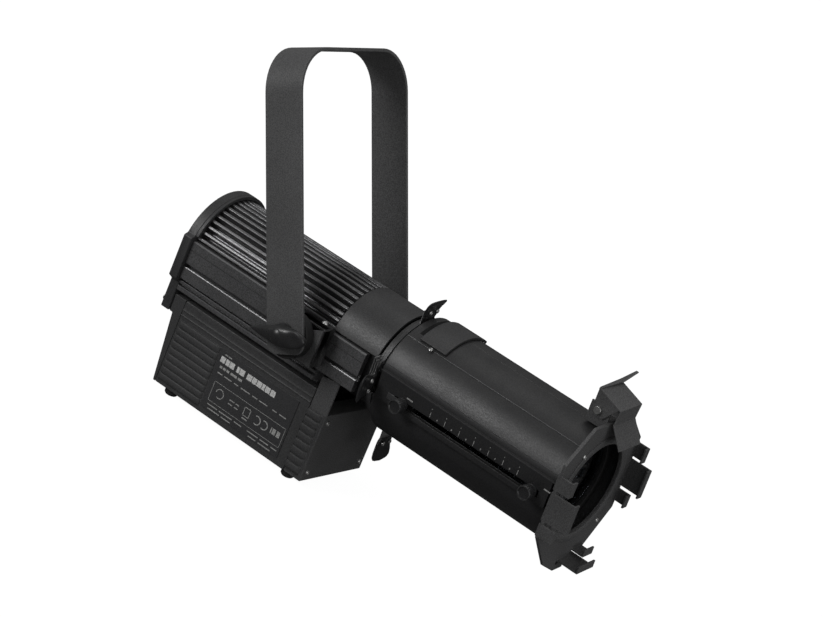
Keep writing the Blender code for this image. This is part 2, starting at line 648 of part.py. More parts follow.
# ---------------------------------------------------------------- barrel
def shutters(barrel):
    """The cassette, its cover and four blades on four levels, each with its grip."""
    rear, front = -CASSETTE_REAR, -CASSETTE_FRONT
    plate = rear + CASSETTE_PLATE_T
    inner = CASSETTE_R - CASSETTE_WALL
    lip = CASSETTE_R - CASSETTE_STEP
    step = front - CASSETTE_STEP_L
    cup = [(lip, front), (lip, step), (CASSETTE_R, step), (CASSETTE_R, rear), (APERTURE_R, rear),
           (APERTURE_R, plate), (inner, plate), (inner, front)]
    cassette = turned("shutter_cassette", barrel, "black_paint", cup, "front", steps=48, ring=True)
    cover_rear = front + GAP
    turned("cassette_cover", barrel, "black_paint",
           ring_profile(BLADE_HALF_W + 1 * MM, lip, cover_rear, cover_rear + CASSETTE_COVER_T),
           "front", steps=48, ring=True)
    windows = []
    for i, name in enumerate(("top", "left", "bottom", "right")):
        turn = (0, -90 * i, 0)
        side = empty(f"shutter_{name}_frame", (0, 0, 0), turn)
        side.parent = barrel
        level = plate + GAP + i * (BLADE_T + GAP)
        out = PULLED_OUT[name]
        shoulder = BLADE_SHOULDER + out
        end = TANG_END + out
        blade = [(-BLADE_HALF_W, out), (BLADE_HALF_W, out), (BLADE_HALF_W, shoulder), (TANG_HALF_W, shoulder),
                 (TANG_HALF_W, end), (-TANG_HALF_W, end), (-TANG_HALF_W, shoulder), (-BLADE_HALF_W, shoulder)]
        flat(f"shutter_blade_{name}", side, "steel", [blade], "cross", level, level + BLADE_T)
        window = TANG_HALF_W + 0.5 * MM
        windows.append(box(f"cut_window_{name}", side, "rubber",
                           (-window, -front - 1 * MM, APERTURE_R + 20 * MM),
                           (window, -plate, CASSETTE_R + 5 * MM)))
        foot = GRIP_INNER + out
        leaf_base = foot + GRIP_H * 0.35
        leaf = [(-GRIP_HALF_W * 0.7, foot), (GRIP_HALF_W * 0.7, foot)]
        leaf += [(x * GRIP_HALF_W, leaf_base + z * GRIP_H * 0.65) for x, z in arc((0, 0), 1, 0, 180, 13)]
        middle = (level + level + BLADE_T) / 2
        grip = as_mesh(flat(f"shutter_grip_{name}", side, "black_plastic", [leaf], "cross",
                            plate + 1.6 * MM - GRIP_T / 2, plate + 1.6 * MM + GRIP_T / 2))
        notch = box(f"cut_grip_{name}", side, "rubber",
                    (-TANG_HALF_W - GAP, -middle - BLADE_T / 2 - GAP, foot - 5 * MM),
                    (TANG_HALF_W + GAP, -middle + BLADE_T / 2 + GAP, end + GAP))
        combine(grip, [notch], "DIFFERENCE")
    combine(cassette, windows, "DIFFERENCE")


def half_shell():
    """Cross-section of the right half shell: a round wall whose flank is flattened for the track."""
    inner = BARREL_R - BARREL_WALL
    flat_deg = math.degrees(math.acos(TRACK_SEAT / BARREL_R))
    seam = math.degrees(GAP / 2 / BARREL_R)
    top = arc((0, 0), BARREL_R, 90 - seam, flat_deg, 16)
    bottom = [(x, -z) for x, z in reversed(top)]
    lining = arc((0, 0), inner, -90 + seam, 90 - seam, 33)
    return top + bottom + lining


def barrel_shells(barrel):
    """Two extruded half shells, the slotted scale track and the saddle over the accessory slot."""
    low, high = -BARREL_REAR, -BARREL_FRONT
    right = half_shell()
    flat("barrel_shell_right", barrel, "black_paint", [right], "cross", low, high)
    left = as_mesh(flat("barrel_shell_left", barrel, "black_paint", [mirrored(right)], "cross", low, high))
    slot_rear = BARREL_REAR - SLOT_REAR_END
    slot_front = BARREL_FRONT + SLOT_MARGIN / 2
    outside = BARREL_R + 10 * MM
    inside = BARREL_R - BARREL_WALL - 6 * MM
    cut = box("cut_shell_slot", barrel, "rubber", (-outside, slot_front, -SLOT_HALF_H),
              (-inside, slot_rear, SLOT_HALF_H))
    combine(left, [cut], "DIFFERENCE")

    rear, front = BARREL_REAR - 3 * MM, BARREL_FRONT + 3 * MM
    slot = [(slot_rear, SLOT_HALF_H), (slot_front, SLOT_HALF_H),
            (slot_front, -SLOT_HALF_H), (slot_rear, -SLOT_HALF_H)]
    track = [(front, TRACK_BOTTOM), (rear, TRACK_BOTTOM), (rear, TRACK_TOP), (front, TRACK_TOP)]
    flat("scale_track", barrel, "black_anodised", [track, slot], "side", -TRACK_FACE, -TRACK_SEAT - GAP)

    saddle_rear = BARREL_REAR - SADDLE_REAR
    inner = BARREL_R + GAP
    strap = arc((0, 0), inner + SADDLE_T, 90 - SADDLE_HALF_DEG, 90 + SADDLE_HALF_DEG, 17)
    strap += arc((0, 0), inner, 90 + SADDLE_HALF_DEG, 90 - SADDLE_HALF_DEG, 17)
    flat("slot_saddle", barrel, "black_paint", [strap], "cross", -saddle_rear, -saddle_rear + SADDLE_LENGTH)


def carriages(barrel):
    """Zoom and focus lens carriages, their lenses and the thumb knobs that lock them."""
    half = CARRIAGE_L / 2
    for name, y in (("zoom", ZOOM_Y), ("focus", FOCUS_Y)):
        ring = turned(f"{name}_carriage", barrel, "black_anodised",
                      ring_profile(LENS_R + GAP, CARRIAGE_R, -half, half), "front", (0, y, 0), 48, ring=True)
        hole = THUMB_STUD_R + THUMB_CLEAR
        bore = [(0, BARREL_R), (hole, BARREL_R), (hole, LENS_R - 5 * MM), (0, LENS_R - 5 * MM)]
        drill = turned(f"cut_{name}_bore", barrel, "rubber", bore, "left", (0, y, 0), 20)
        combine(ring, [drill], "DIFFERENCE")
        turns = [math.pi / 2 * i / 10 for i in range(10)]
        lens = [(LENS_R * math.sin(t), LENS_EDGE / 2 + LENS_CROWN * math.sqrt(math.cos(t))) for t in turns]
        lens += [(LENS_R, LENS_EDGE / 2), (LENS_R, -LENS_EDGE / 2), (0, -LENS_EDGE / 2)]
        turned(f"{name}_lens", barrel, "glass", lens, "front", (0, y, 0), 40)
        base = TRACK_FACE + GAP
        tip = base + THUMB_L
        stud_end = CARRIAGE_R - THUMB_STUD_DEPTH
        thumb = [
            (0, tip - 0.8 * MM), (THUMB_R * 0.7, tip - 0.8 * MM), (THUMB_R * 0.8, tip),
            (THUMB_R, tip - 0.6 * MM),
            (THUMB_R, tip - 6 * MM), (THUMB_R * 0.8, tip - 7 * MM), (THUMB_R * 0.8, base),
            (THUMB_STUD_R, base), (THUMB_STUD_R, stud_end), (0, stud_end),
        ]
        turned(f"{name}_knob", barrel, "black_plastic", thumb, "left", (0, y, 0), 28)


def tab(name, barrel, side, start, end, reach, depth):
    """One lipped tab of the colour frame holder, from the plate forwards and then inwards. Side is
    left, right or bottom; start and end run along that side and reach is its distance out."""
    back = -HOLDER_REAR - 1 * MM
    tip = -HOLDER_FRONT + depth
    inward = reach - TAB_LIP
    loop = [(back, reach), (tip, reach), (tip, inward), (tip - TAB_T, inward), (tip - TAB_T, reach - TAB_T),
            (back, reach - TAB_T)]
    loop = [(-y, out) for y, out in loop]
    if side == "bottom":
        return flat(name, barrel, "black_paint", [[(y, -out) for y, out in loop]], "side", start, end)
    sign = -1 if side == "left" else 1
    return flat(name, barrel, "black_paint", [[(sign * out, y) for y, out in loop]], "level", start, end)


def colour_frame_holder(barrel):
    """The nose plate with its tabs, the latch bracket and the latch."""
    outline = [
        (HOLDER_EAR * 0.7, HOLDER_BOTTOM - HOLDER_EAR), (HOLDER_EAR * 0.9, HOLDER_BOTTOM - 2 * MM),
        (SHORT_TAB_X, HOLDER_BOTTOM + 4 * MM), (HOLDER_BOTTOM_HALF + 5 * MM, HOLDER_BOTTOM + 4 * MM),
        (HOLDER_RIGHT, HOLDER_SIDE_BOTTOM), (HOLDER_RIGHT, HOLDER_SIDE_TOP), (HOLDER_TOP_HALF, HOLDER_TOP),
        (-HOLDER_TOP_HALF, HOLDER_TOP), (-HOLDER_HALF_W, HOLDER_SIDE_TOP),
        (-HOLDER_HALF_W, HOLDER_SIDE_BOTTOM),
        (-HOLDER_BOTTOM_HALF, HOLDER_BOTTOM), (-HOLDER_EAR * 0.6, HOLDER_BOTTOM - HOLDER_EAR),
    ]
    bore = arc((0, 0), HOLDER_BORE_R, 0, 352.5, 48)
    plate = as_mesh(flat("frame_holder", barrel, "black_paint", [outline, bore], "cross",
                         -HOLDER_REAR, -HOLDER_FRONT))
    tabs = []
    for side, reach, lift in (("left", HOLDER_HALF_W, 0.0), ("right", HOLDER_RIGHT, TAB_LIFT)):
        for level, low, high, depth in SIDE_TABS:
            tabs.append(tab(f"tool_{side}_{level}", barrel, side, low + lift, high + lift, reach, depth))
    floor = -HOLDER_BOTTOM
    tabs.append(tab("tool_bottom_long", barrel, "bottom", -5 * MM, 21 * MM, floor + TAB_T, LONG_TAB_DEPTH))
    tabs.append(tab("tool_bottom_short", barrel, "bottom", SHORT_TAB_X, SHORT_TAB_X + 15 * MM,
                    floor - 4 * MM, SHORT_TAB_DEPTH))
    combine(plate, tabs, "UNION")

    axis_y = HOLDER_FRONT + LATCH_AXIS_Y
    axis_z = LATCH_AXIS_Z
    foot_z = BARREL_R + 2 * MM
    inner_x = LATCH_HALF_W - LATCH_T - GAP
    rear_y = axis_y + 9 * MM
    front_y = HOLDER_REAR + GAP
    ear_z = axis_z + 5 * MM
    arm = inner_x - BRACKET_T
    bridge = [(-inner_x, foot_z), (inner_x, foot_z), (inner_x, ear_z), (arm, ear_z),
              (arm, foot_z + BRACKET_T),
              (-arm, foot_z + BRACKET_T), (-arm, ear_z), (-inner_x, ear_z)]
    bridge = [(LATCH_X + x, z) for x, z in bridge]
    bracket = as_mesh(flat("latch_bracket", barrel, "black_paint", [bridge], "cross", -rear_y, -front_y))
    across = LATCH_HALF_W + 5 * MM
    hole = LATCH_PIN_R + 0.3 * MM
    drill = [(0, across), (hole, across), (hole, -across), (0, -across)]
    at = (LATCH_X, axis_y, axis_z)
    combine(bracket, [turned("cut_bracket_pin", barrel, "rubber", drill, "right", at, 20)], "DIFFERENCE")
    head = LATCH_HALF_W + 2 * MM
    shank = LATCH_HALF_W + GAP
    pin = [(0, head), (LATCH_PIN_R * 1.8, head), (LATCH_PIN_R * 1.8, shank), (LATCH_PIN_R, shank),
           (LATCH_PIN_R, -shank), (LATCH_PIN_R * 1.8, -shank), (LATCH_PIN_R * 1.8, -head), (0, -head)]
    turned("latch_pin", barrel, "steel", pin, "right", at, 20)

    roof_rear = (axis_y + 6 * MM, axis_z + 18 * MM)
    roof_front = (HOLDER_FRONT - 5 * MM, axis_z + 9.5 * MM)
    knee = (HOLDER_FRONT - 4 * MM, HOLDER_TOP + GAP * 5)
    lip = (HOLDER_FRONT - LONG_TAB_DEPTH + 4 * MM, HOLDER_TOP - 16 * MM)
    path = [roof_rear, roof_front, knee, lip]
    strip = offset_strip(path, LATCH_T)
    latch = as_mesh(flat("holder_latch", barrel, "black_paint", [strip], "side",
                         LATCH_X - LATCH_HALF_W, LATCH_X + LATCH_HALF_W))
    cheeks = []
    for hand, sign in (("left", -1), ("right", 1)):
        cheek = [(axis_y - 6 * MM, axis_z - 6 * MM), (axis_y + 6 * MM, axis_z - 6 * MM),
                 (roof_rear[0], roof_rear[1] - 0.2 * MM), (roof_front[0] + 2 * MM, roof_front[1])]
        inner = LATCH_X + sign * (LATCH_HALF_W - LATCH_T)
        outer = LATCH_X + sign * LATCH_HALF_W
        cheeks.append(flat(f"tool_cheek_{hand}", barrel, "black_paint", [cheek], "side",
                           min(inner, outer), max(inner, outer)))
    combine(latch, cheeks, "UNION")
    combine(latch, [turned("cut_latch_pin", barrel, "rubber", drill, "right", at, 20)], "DIFFERENCE")


def offset_strip(path, thickness):
    """Outline of a folded sheet: the path, and the same path moved by the thickness to its left."""
    moved = []
    for i, (y, z) in enumerate(path):
        before = path[max(i - 1, 0)]
        after = path[min(i + 1, len(path) - 1)]
        run = (after[0] - before[0], after[1] - before[1])
        size = math.hypot(*run)
        moved.append((y - run[1] / size * thickness, z + run[0] / size * thickness))
    return path + moved[::-1]


def main():
    for old in list(bpy.data.objects):
        bpy.data.objects.remove(old)
    house = empty("house_frame", (0, DATUM_Y, AXIS_Z))
    barrel = empty("barrel_frame", (0, DATUM_Y, AXIS_Z), (0, -BARREL_ROLL_DEG, 0))
    yoke = empty("yoke_frame", (0, DATUM_Y + PIVOT_Y, AXIS_Z + PIVOT_Z), (-YOKE_LEAN_DEG, 0, 0))
    lamp_house(house)
    driver_housing(house)
    lamp(house)
    rear_fittings(house)
    yoke_and_pivots(house, yoke)
    shutters(barrel)
    barrel_shells(barrel)
    carriages(barrel)
    colour_frame_holder(barrel)


main()
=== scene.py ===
"""Ellipsoidal spotlight: the finished surfaces of every piece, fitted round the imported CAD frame.

Lengths in the sections below are millimetres from the datum: x to the right seen from behind, y
backwards along the optical axis, z up from the axis. in_house and on_barrel turn them into
metres in the shared frame.
"""
import json
import math

import bmesh
import bpy
import numpy as np
from mathutils import Matrix, Vector


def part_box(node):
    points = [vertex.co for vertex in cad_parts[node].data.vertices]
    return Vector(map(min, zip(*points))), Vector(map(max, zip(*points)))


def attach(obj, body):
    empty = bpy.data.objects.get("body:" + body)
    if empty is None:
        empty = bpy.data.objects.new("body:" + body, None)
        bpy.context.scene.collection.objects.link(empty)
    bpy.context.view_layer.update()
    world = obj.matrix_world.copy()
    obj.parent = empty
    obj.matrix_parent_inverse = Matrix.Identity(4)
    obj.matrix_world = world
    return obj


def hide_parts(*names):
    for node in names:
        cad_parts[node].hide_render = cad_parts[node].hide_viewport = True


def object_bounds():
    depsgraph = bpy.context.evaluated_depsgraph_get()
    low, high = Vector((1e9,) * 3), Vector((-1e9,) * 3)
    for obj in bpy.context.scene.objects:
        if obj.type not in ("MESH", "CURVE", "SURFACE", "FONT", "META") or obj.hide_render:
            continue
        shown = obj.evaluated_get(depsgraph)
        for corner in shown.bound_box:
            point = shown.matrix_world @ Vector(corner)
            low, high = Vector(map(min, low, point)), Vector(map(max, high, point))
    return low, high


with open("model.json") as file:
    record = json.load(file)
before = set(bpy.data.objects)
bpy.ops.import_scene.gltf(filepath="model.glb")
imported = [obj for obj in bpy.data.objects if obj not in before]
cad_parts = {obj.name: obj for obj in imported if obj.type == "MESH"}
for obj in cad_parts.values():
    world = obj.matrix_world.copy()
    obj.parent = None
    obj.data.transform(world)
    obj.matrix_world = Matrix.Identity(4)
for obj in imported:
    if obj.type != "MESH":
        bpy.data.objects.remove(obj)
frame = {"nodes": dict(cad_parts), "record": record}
cad_low, cad_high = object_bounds()


# ================================================================ lamp house extrusion
# One black anodised aluminium extrusion with twenty round-nosed cooling fins and a tunnel through
# its middle. Sawn to length, so only the long edges are soft.
MM = 0.001
DRUM_REAR = 11.0
drum_low, drum_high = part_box("gate_drum")
AXIS_Z = (drum_low.z + drum_high.z) / 2
DATUM_Y = drum_high.y - DRUM_REAR * MM


def in_house(points):
    """Datum millimetres to metres in the shared frame."""
    return np.asarray(points, float) * MM + np.array((0.0, DATUM_Y, AXIS_Z))


def shader_group(name, inputs, outputs):
    """A new shader node group: its tree, its input node and its output node."""
    tree = bpy.data.node_groups.new(name, "ShaderNodeTree")
    for label, value in inputs:
        socket = tree.interface.new_socket(label, in_out="INPUT", socket_type="NodeSocketFloat")
        socket.default_value = value
    for label in outputs:
        tree.interface.new_socket(label, in_out="OUTPUT", socket_type="NodeSocketFloat")
    return tree, tree.nodes.new("NodeGroupInput"), tree.nodes.new("NodeGroupOutput")


def node(tree, kind, links=(), **settings):
    """A node of that kind; links are (input name or number, output socket or number)."""
    made = tree.nodes.new("ShaderNode" + kind)
    for key, value in settings.items():
        setattr(made, key, value)
    for where, what in links:
        if isinstance(what, bpy.types.NodeSocket):
            tree.links.new(what, made.inputs[where])
        else:
            made.inputs[where].default_value = what
    return made


def spread(tree, value, low, high, to_low, to_high):
    """The value's range low..high mapped to to_low..to_high and kept inside it."""
    made = node(tree, "MapRange", [("Value", value), ("From Min", low), ("From Max", high),
                                   ("To Min", to_low), ("To Max", to_high)])
    return made.outputs["Result"]


def grain_group():
    """Orange-peel grain of a baked coating. Height is fine noise plus shallow cells. Tone drifts
    slowly round 1, as film thickness does, with fine speckle on top where the grain stands up."""
    tree, enter, leave = shader_group("coating_grain", [("Scale", 900.0)], ["Height", "Tone"])
    where = node(tree, "TexCoord").outputs["Object"]
    fine = node(tree, "TexNoise", [("Vector", where), ("Scale", enter.outputs["Scale"]), ("Detail", 3.0)])
    cells = node(tree, "TexVoronoi", [("Vector", where), ("Scale", enter.outputs["Scale"])])
    part = node(tree, "Math", [(0, fine.outputs["Fac"]), (1, 0.65)], operation="MULTIPLY")
    whole = node(tree, "Math", [(0, cells.outputs["Distance"]), (1, 0.35), (2, part.outputs[0])],
                 operation="MULTIPLY_ADD")
    slow = node(tree, "TexNoise", [("Vector", where), ("Scale", 17.0), ("Detail", 4.0)])
    tree.links.new(whole.outputs[0], leave.inputs["Height"])
    speckle = node(tree, "TexNoise", [("Vector", where), ("Scale", 1100.0), ("Detail", 1.0)])
    drift = spread(tree, slow.outputs["Fac"], 0.3, 0.7, 0.86, 1.14)
    standing = spread(tree, speckle.outputs["Fac"], 0.32, 0.68, 0.68, 1.32)
    tone = node(tree, "Math", [(0, drift), (1, standing)], operation="MULTIPLY")
    tree.links.new(tone.outputs[0], leave.inputs["Tone"])
    return tree


def line_group():
    """Die lines of an extrusion: noise stretched a hundredfold along the optical axis."""
    tree, enter, leave = shader_group("die_lines", [("Scale", 1600.0)], ["Height"])
    where = node(tree, "TexCoord").outputs["Object"]
    drawn = node(tree, "Mapping", [("Vector", where), ("Scale", (1.0, 0.008, 1.0))])
    lines = node(tree, "TexNoise", [("Vector", drawn.outputs[0]), ("Scale", enter.outputs["Scale"]),
                                    ("Detail", 2.0)])
    tree.links.new(lines.outputs["Fac"], leave.inputs["Height"])
    return tree


def edge_wear_highlight_group():
    """Worn edges and painted edge highlights. The Mask is how far the rounded normal turns from the true one,
    broken up by noise, so it is 0 on open faces and up to 1 on outer edges, which it lightens as wear and as
    a painted highlight."""
    tree, enter, leave = shader_group("worn_and_highlit_edges", [("Radius", 0.0006), ("Break-up", 260.0)], ["Mask"])
    soft = node(tree, "Bevel", [("Radius", enter.outputs["Radius"])], samples=4)
    true = node(tree, "NewGeometry")
    turn = node(tree, "VectorMath", [(0, soft.outputs[0]), (1, true.outputs["Normal"])],
                operation="DOT_PRODUCT")
    edge = spread(tree, turn.outputs["Value"], 0.99, 0.80, 0.0, 1.0)
    where = node(tree, "TexCoord").outputs["Object"]
    patch = node(tree, "TexNoise", [("Vector", where), ("Scale", enter.outputs["Break-up"]), ("Detail", 3.0)])
    held = spread(tree, patch.outputs["Fac"], 0.38, 0.62, 0.25, 1.0)
    mask = node(tree, "Math", [(0, edge), (1, held)], operation="MULTIPLY", use_clamp=True)
    tree.links.new(mask.outputs[0], leave.inputs["Mask"])
    return tree


def dust_group():
    """Fine dust that settles on faces looking up, in soft clouds."""
    tree, enter, leave = shader_group("settled_dust", [("Scale", 45.0)], ["Mask"])
    facing = node(tree, "SeparateXYZ", [("Vector", node(tree, "NewGeometry").outputs["Normal"])])
    upward = spread(tree, facing.outputs["Z"], 0.2, 1.0, 0.0, 1.0)
    where = node(tree, "TexCoord").outputs["Object"]
    cloud = node(tree, "TexNoise", [("Vector", where), ("Scale", enter.outputs["Scale"]), ("Detail", 6.0)])
    lying = spread(tree, cloud.outputs["Fac"], 0.4, 0.75, 0.0, 1.0)
    mask = node(tree, "Math", [(0, upward), (1, lying)], operation="MULTIPLY", use_clamp=True)
    tree.links.new(mask.outputs[0], leave.inputs["Mask"])
    return tree


GRAIN, LINES, WEAR_AND_HIGHLIGHT, DUST = grain_group(), line_group(), edge_wear_highlight_group(), dust_group()


def use_group(tree, group, **values):
    """Places a group in a material with its own values."""
    made = tree.nodes.new("ShaderNodeGroup")
    made.node_tree = group
    for label, value in values.items():
        made.inputs[label.replace("_", " ")].default_value = value
    return made


def mixed(tree, share, first, second):
    """Colour between first and second by share; each is a socket or a colour."""
    made = node(tree, "Mix", data_type="RGBA")
    ends = [s for s in made.inputs if s.type == "RGBA"]
    factor = [s for s in made.inputs if s.type == "VALUE"][0]
    for socket, value in ((factor, share), (ends[0], first), (ends[1], second)):
        if isinstance(value, bpy.types.NodeSocket):
            tree.links.new(value, socket)
        elif isinstance(value, tuple):
            socket.default_value = (*value, 1)
        else:
            socket.default_value = value
    return [s for s in made.outputs if s.type == "RGBA"][0]


def fresh_material(name):
    """A new material with its node tree and its Principled shader."""
    made = bpy.data.materials.new(name)
    made.use_nodes = True
    return made, made.node_tree, made.node_tree.nodes["Principled BSDF"]


def coating(name, colour, roughness, grain=900.0, bump=0.00006, edge_wear_and_highlight=0.0, dust=0.0, metallic=0.0,
            lines=0.0, edge_wear_highlight_colour=(0.30, 0.30, 0.31), coat=0.0):
    """A dark coating: drifting tone, grain or die lines, edges that turn light as wear and as a painted
    highlight, and a little dust. Bump is the grain's height in metres, the edge and dust values are shares,
    and the edge colour is what an edge turns to."""
    made, tree, shader = fresh_material(name)
    shader.inputs["Metallic"].default_value = metallic
    shader.inputs["Coat Weight"].default_value = coat
    shader.inputs["Coat Roughness"].default_value = 0.25
    skin = use_group(tree, GRAIN, Scale=grain)
    tone = node(tree, "VectorMath", [(0, colour), ("Scale", skin.outputs["Tone"])], operation="SCALE")
    surface = tone.outputs["Vector"]
    rough = spread(tree, skin.outputs["Tone"], 0.86, 1.14, roughness * 1.12, roughness * 0.9)
    if dust:
        fallen = use_group(tree, DUST)
        share = node(tree, "Math", [(0, fallen.outputs["Mask"]), (1, dust)], operation="MULTIPLY")
        surface = mixed(tree, share.outputs[0], surface, (0.17, 0.165, 0.155))
        rough = node(tree, "Math", [(0, share.outputs[0]), (1, 0.5), (2, rough)],
                     operation="MULTIPLY_ADD", use_clamp=True).outputs[0]
    # Edges turned towards the edge colour: partly real wear, partly a painted highlight along rounded edges.
    if edge_wear_and_highlight:
        wear_and_highlight = use_group(tree, WEAR_AND_HIGHLIGHT)
        share = node(tree, "Math", [(0, wear_and_highlight.outputs["Mask"]), (1, edge_wear_and_highlight)], operation="MULTIPLY")
        surface = mixed(tree, share.outputs[0], surface, edge_wear_highlight_colour)
    height = skin.outputs["Height"]
    if lines:
        drawn = use_group(tree, LINES)
        height = node(tree, "Math", [(0, drawn.outputs["Height"]), (1, lines), (2, height)],
                      operation="MULTIPLY_ADD").outputs[0]
    relief = node(tree, "Bump", [("Height", height), ("Distance", bump)])
    tree.links.new(surface, shader.inputs["Base Color"])
    tree.links.new(rough, shader.inputs["Roughness"])
    tree.links.new(relief.outputs[0], shader.inputs["Normal"])
    return made


anodised = coating("black_anodised_extrusion", (0.19, 0.19, 0.194), 0.38, grain=1500.0, bump=0.00003,
                   dust=0.04, metallic=0.75, lines=2.0, edge_wear_and_highlight=0.35, edge_wear_highlight_colour=(0.16, 0.16, 0.165))


def welded(node_name):
    """A CAD node's triangles as a new mesh: corners merged and flat faces joined again."""
    bm = bmesh.new()
    bm.from_mesh(frame["nodes"][node_name].data)
    bmesh.ops.remove_doubles(bm, verts=bm.verts, dist=0.000002)
    bmesh.ops.dissolve_limit(bm, angle_limit=math.radians(0.6), verts=bm.verts, edges=bm.edges)
    mesh = bpy.data.meshes.new(node_name + "_finished")
    bm.to_mesh(mesh)
    bm.free()
    return mesh


def body_of(node_name):
    """The body that a CAD node rides on."""
    groups = frame["record"]["behaviour"]["bodies"]
    return next(body for body, members in groups.items() if node_name in members)


def settle(mesh, name, look, body, sharp_deg):
    """Links a finished mesh as a piece: smooth but for its sharp edges, with its look and body."""
    made = bpy.data.objects.new(name, mesh)
    bpy.context.scene.collection.objects.link(made)
    mesh.polygons.foreach_set("use_smooth", np.ones(len(mesh.polygons), bool))
    mesh.set_sharp_from_angle(angle=math.radians(sharp_deg))
    mesh.materials.append(look)
    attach(made, body)
    return made


def rounded(node_name, look, width, segments=2, least_deg=32.0):
    """A CAD node with its edges rounded by that width in mm, standing for the plain one."""
    made = settle(welded(node_name), node_name + "_finished", look, body_of(node_name), 40.0)
    if width:
        bevel = made.modifiers.new("rounded_edges", "BEVEL")
        bevel.width = width * MM
        bevel.segments = segments
        bevel.limit_method = "ANGLE"
        bevel.angle_limit = math.radians(least_deg)
        bevel.use_clamp_overlap = False
        bevel.harden_normals = True
        bevel.miter_outer = "MITER_ARC"
    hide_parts(node_name)
    return made


sink = rounded("heat_sink", anodised, 0.9, segments=3, least_deg=40.0)
FLANK_OUT, FLANK_SUNK = 48.5, 44.6
for corner in sink.data.vertices:
    # The low solid rib sinks back to the flank, where two thin ribs stand instead.
    if abs(corner.co.x) > 46.2 * MM and corner.co.z < AXIS_Z - 28.0 * MM:
        corner.co.x *= FLANK_SUNK / FLANK_OUT


# ================================================================ side rails
# Two rails bolted to the flanks; the pivot blocks slide in them. Each is one outline carried along
# the axis, with an undercut T-slot and a hairline groove. Two thin ribs run below each rail.
RAIL_FRONT, RAIL_REAR = -22.0, 181.3
RAIL_IN, RAIL_OUT = 44.35, 50.5
FLANK_RIBS = ((-30.2, -27.2), (-36.6, -32.2))
RIBS_FRONT = 18.8


def quads(rows, columns, around=False, closed=False):
    """Faces of a lattice of points held row by row. Around joins the last column to the first,
    and closed joins the last row to the first."""
    r = np.arange(rows if closed else rows - 1)[:, None]
    c = np.arange(columns if around else columns - 1)[None, :]
    nr, nc = (r + 1) % rows, (c + 1) % columns
    corners = [r * columns + c, r * columns + nc, nr * columns + nc, nr * columns + c]
    return np.stack(np.broadcast_arrays(*corners), axis=-1).reshape(-1, 4)


def backed(front, axis, level):
    """A lattice of points closed by a skirt and a flat back that lies at that level of an axis."""
    ringed = np.pad(front, ((1, 1), (1, 1), (0, 0)), mode="edge")
    ringed[[0, -1], :, axis] = level
    ringed[:, [0, -1], axis] = level
    rows, columns = ringed.shape[:2]
    index = np.arange(rows * columns).reshape(rows, columns)
    back = np.concatenate([index[0, :], index[1:, -1], index[-1, -2::-1], index[-2:0:-1, 0]])
    return ringed.reshape(-1, 3), list(quads(rows, columns)) + [back]


def loft(stations):
    """A closed solid from an array (stations, points, 3) of closed outlines: walls, and both ends."""
    count, around = stations.shape[:2]
    ends = [np.arange(around)[::-1], np.arange(around) + (count - 1) * around]
    return stations.reshape(-1, 3), list(quads(count, around, around=True)) + ends


def build(name, parts, look, body, sharp_deg=35.0, edges=0.0):
    """Joins parts of (points in metres, faces) into one piece. Doubles are merged, faces are
    turned outwards, and edges, in mm, rounds what is sharper than 35 degrees."""
    points, faces, start = [], [], 0
    for part_points, part_faces in parts:
        points.append(part_points)
        faces += [(np.asarray(f) + start).tolist() for f in part_faces]
        start += len(part_points)
    mesh = bpy.data.meshes.new(name)
    mesh.from_pydata(np.concatenate(points).tolist(), [], faces)
    bm = bmesh.new()
    bm.from_mesh(mesh)
    bmesh.ops.remove_doubles(bm, verts=bm.verts, dist=0.0000005)
    bmesh.ops.recalc_face_normals(bm, faces=bm.faces)
    bm.to_mesh(mesh)
    bm.free()
    made = settle(mesh, name, look, body, sharp_deg)
    if edges:
        bevel = made.modifiers.new("rounded_edges", "BEVEL")
        bevel.width = edges * MM
        bevel.segments = 2
        bevel.limit_method = "ANGLE"
        bevel.angle_limit = math.radians(35.0)
        bevel.use_clamp_overlap = False
        bevel.harden_normals = True
    return made


def along_y(outline, stations):
    """An (x, z) outline repeated at each y: array (stations, points, 3)."""
    outline = np.asarray(outline, float)
    stations = np.asarray(stations, float)
    made = np.empty((len(stations), len(outline), 3))
    made[..., 0], made[..., 2] = outline[:, 0], outline[:, 1]
    made[..., 1] = stations[:, None]
    return made


rail_outline = np.array([
    (RAIL_IN, -25.0), (RAIL_OUT - 0.6, -25.0), (RAIL_OUT, -24.4), (RAIL_OUT, -14.1),
    (RAIL_OUT - 0.5, -13.3), (RAIL_OUT - 1.6, -13.3), (RAIL_OUT - 1.6, -15.0),
    (RAIL_OUT - 5.2, -15.0), (RAIL_OUT - 5.2, -8.6),
    (RAIL_OUT - 1.6, -8.6), (RAIL_OUT - 1.6, -10.3), (RAIL_OUT - 0.5, -10.3), (RAIL_OUT, -9.6),
    (RAIL_OUT, 2.5), (RAIL_OUT - 0.7, 2.9), (RAIL_OUT, 3.3), (RAIL_OUT, 10.6), (RAIL_OUT - 1.1, 11.7),
    (RAIL_IN, 11.7)])
for hand, sign in (("left", -1.0), ("right", 1.0)):
    outline = rail_outline * (sign, 1.0)
    rail = build(f"side_rail_{hand}_finished", [loft(in_house(along_y(outline, (RAIL_FRONT, RAIL_REAR))))],
                 anodised, "housing", sharp_deg=30.0)
    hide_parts(f"side_rail_{hand}")
    ribs = []
    for low, high in FLANK_RIBS:
        rib = np.array([(43.8, low), (48.1, low), (48.6, low + 0.5),
                        (48.6, high - 0.5), (48.1, high), (43.8, high)])
        ribs.append(loft(in_house(along_y(rib * (sign, 1.0), (RIBS_FRONT, RAIL_REAR)))))
    build(f"flank_ribs_{hand}", ribs, anodised, "housing", sharp_deg=30.0)


